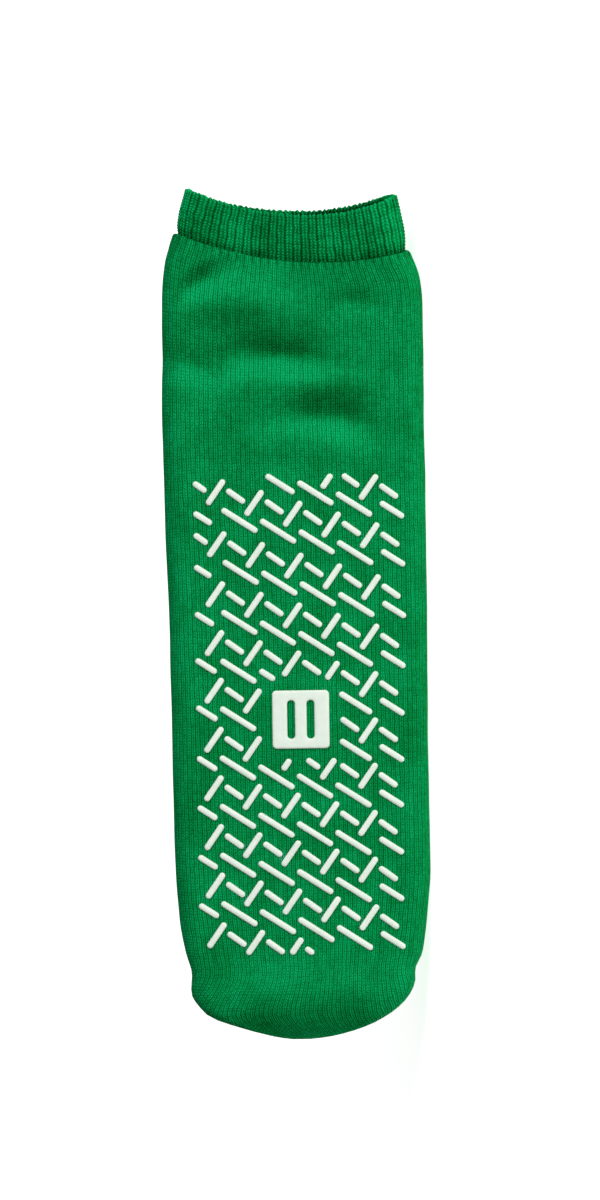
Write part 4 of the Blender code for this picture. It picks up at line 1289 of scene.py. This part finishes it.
def stitch_pattern(s, wale, course, sharp):
    """The groove between wales, and the V stitches along each wale."""
    off_middle = s.math("ABSOLUTE", s.math("SUBTRACT", s.math("FRACT", wale), 0.5))
    side = s.math("MULTIPLY", off_middle, 2.0)
    leg = s.math("SINE", s.math("MULTIPLY", side, math.pi))
    lean = s.math("MULTIPLY_ADD", side, VEE_SLOPE, course)
    wave = s.math("COSINE", s.math("MULTIPLY", lean, 2.0 * math.pi))
    vee = s.math("MULTIPLY_ADD", wave, 0.5, 0.5)
    vee = s.math("MULTIPLY_ADD", vee, VEE_SHARE, 1.0 - VEE_SHARE)
    stitch = s.math("MULTIPLY", s.math("POWER", leg, sharp), vee)
    return s.math("POWER", side, GROOVE_SHARPNESS), stitch


def knit_tone(s, yarn, wale, course, groove, stitch, fibres):
    """How light the knit is: its stitches, uneven yarn, streaks, soft patches, and the painted shade and
    painted light of the fold attribute.
    """
    cell = s.node("ShaderNodeCombineXYZ", X=s.math("FLOOR", wale), Y=s.math("FLOOR", course))
    strand = s.node("ShaderNodeTexWhiteNoise", Vector=cell.outputs[0]).outputs["Value"]
    line = s.node("ShaderNodeCombineXYZ", X=wale, Y=s.math("MULTIPLY", course, STREAK_STRETCH))
    streak = s.noise(line.outputs[0], STREAKS)
    patch = s.noise(s.place, PATCHES)
    tone = s.math("MULTIPLY", stitch, STITCH_TONE)
    for value, weight in ((fibres, FIBRE_TONE), (strand, STRAND_TONE), (streak, yarn.uneven),
                          (patch, PATCH_TONE), (groove, -yarn.gap)):
        tone = s.math("MULTIPLY_ADD", value, weight, tone)
    tone = s.math("SUBTRACT", tone, TONE_BASE + 0.5 * yarn.uneven)
    # Painted shade and painted light from the fold attribute: darker on crease slopes that face the toe,
    # along the gathers and inside the cuff, lighter on the cuff's rim
    return s.math("MULTIPLY_ADD", s.attribute("fold"), -PAINTED_SHADE_STRENGTH, tone)


def knit_material(yarn, bleed=False):
    """Fine jersey in one yarn, stained where the gel has bled into it."""
    s = Shader(yarn.name)
    wale, course = wandering_counts(s)
    groove, stitch = stitch_pattern(s, wale, course, yarn.sharp)
    fibres = s.noise(s.place, FIBRES)
    ramp = s.node("ShaderNodeValToRGB", Fac=knit_tone(s, yarn, wale, course, groove, stitch, fibres))
    elements = ramp.color_ramp.elements
    for element, position, colour in zip(elements, RAMP_ENDS, (yarn.dark, yarn.light)):
        element.position = position
        element.color = (*colour, 1.0)
    elements.new(0.5).color = (*yarn.middle, 1.0)
    colour = ramp.outputs[0]
    if bleed:
        soaked = s.math("MULTIPLY_ADD", fibres, SOAK_CONTRAST, SOAK_BASE)
        colour = s.blend(s.math("MULTIPLY", s.attribute("bleed"), soaked), colour, (*STAIN, 1.0))
    s.fill(s.surface, Base_Color=colour, Roughness=0.95, Specular_IOR_Level=0.02, Sheen_Weight=0.05,
           Sheen_Roughness=0.5, Sheen_Tint=(0.02, 1.0, 0.40, 1.0))
    rounded = s.math("MULTIPLY_ADD", groove, -GROOVE_DEPTH, stitch)
    s.bump(s.math("MULTIPLY_ADD", fibres, FIBRE_HEIGHT, rounded), yarn.depth)
    return s.material


def print_material():
    """Off-white gel: a soft gloss, faint pits, and green knit showing through at its foot."""
    s = Shader("gel_print")
    risen = s.math("SMOOTH_MIN", s.math("MULTIPLY", s.attribute("rise"), FOOT_STEEPNESS), 1.0, FOOT_ROUNDING)
    foot = s.math("MULTIPLY", s.math("SUBTRACT", 1.0, risen), FOOT_SHARE)
    cloud = s.noise(s.place, GEL_CLOUDS)
    body = s.blend(cloud, (*GEL_DARK, 1.0), (*GEL_LIGHT, 1.0))
    s.fill(s.surface, Base_Color=s.blend(foot, body, (*GEL_FOOT, 1.0)), Roughness=0.45,
           Specular_IOR_Level=0.40, Coat_Weight=0.10, Coat_Roughness=0.30)
    s.bump(s.noise(s.place, GEL_PITS), PIT_DEPTH)
    return s.material


def floor_material():
    """The pale floor, lit from below like a light table so that its shadows stay faint."""
    s = Shader("pale_floor")
    grain = s.noise(s.place, FLOOR_GRAIN)
    colour = s.blend(grain, (*FLOOR_LIGHT, 1.0), (*FLOOR_DARK, 1.0))
    s.fill(s.surface, Base_Color=colour, Roughness=0.9, Specular_IOR_Level=0.1,
           Emission_Color=(1.0, 1.0, 1.0, 1.0), Emission_Strength=FLOOR_GLOW)
    return s.material


def add_object(name, data):
    """A new object in the scene."""
    item = bpy.data.objects.new(name, data)
    bpy.context.scene.collection.objects.link(item)
    return item


def make_stage():
    """Pale floor, soft lights and a white surround."""
    low, high = -FLOOR_HALF, FLOOR_HALF
    mesh = bpy.data.meshes.new("floor")
    mesh.from_pydata([(low, low, 0.0), (high, low, 0.0), (high, high, 0.0), (low, high, 0.0)], [],
                     [(0, 1, 2, 3)])
    mesh.materials.append(floor_material())
    add_object("floor", mesh)
    for lamp in LIGHTS:
        data = bpy.data.lights.new(lamp.name, "AREA")
        data.size = lamp.size
        data.energy = lamp.power
        item = add_object(lamp.name, data)
        item.location = lamp.spot
        item.rotation_mode = "QUATERNION"
        item.rotation_quaternion = (Vector(LIGHT_AIM) - Vector(lamp.spot)).to_track_quat("-Z", "Y")
    world = bpy.data.worlds.new("surround")
    world.use_nodes = True
    background = world.node_tree.nodes["Background"]
    background.inputs["Color"].default_value = (1.0, 1.0, 1.0, 1.0)
    background.inputs["Strength"].default_value = SURROUND
    bpy.context.scene.world = world
    bpy.context.scene.view_settings.view_transform = "Standard"


def make_camera():
    """Square on to the sole face, with the collar at the top of the picture."""
    forward = Vector(INWARDS)
    down_picture = Vector((0.0, -math.sin(SOLE_LEAN), -math.cos(SOLE_LEAN)))
    lengthwise = Vector((1.0, 0.0, 0.0))
    up = lengthwise * math.cos(PICTURE_TURN) + down_picture * math.sin(PICTURE_TURN)
    right = down_picture * math.cos(PICTURE_TURN) - lengthwise * math.sin(PICTURE_TURN)
    aim = Vector(to_world((AIM_ALONG, AIM_ACROSS, 0.0)))
    camera = bpy.data.cameras.new("camera")
    camera.sensor_width = FILM_SIZE
    camera.lens = FILM_SIZE * CAMERA_DISTANCE / PICTURE_HEIGHT
    camera.clip_start, camera.clip_end = CLIP_RANGE
    item = add_object("camera", camera)
    turn = Matrix((right, up, -forward)).transposed()
    item.matrix_world = Matrix.Translation(aim - forward * CAMERA_DISTANCE) @ turn.to_4x4()
    bpy.context.scene.camera = item


def main():
    """Dress the sock and light it. The print's wobble would follow the clock without a seed."""
    noise.seed_set(WOBBLE_SEED)
    knit = knit_material(JERSEY, bleed=True)
    rib = knit_material(RIB)
    gel = print_material()
    smudges = make_bars(gel)
    make_knit(knit, smudges)
    make_cuff(rib)
    make_toe_seam(knit)
    make_size_pad(gel)
    make_stage()
    make_camera()


main()
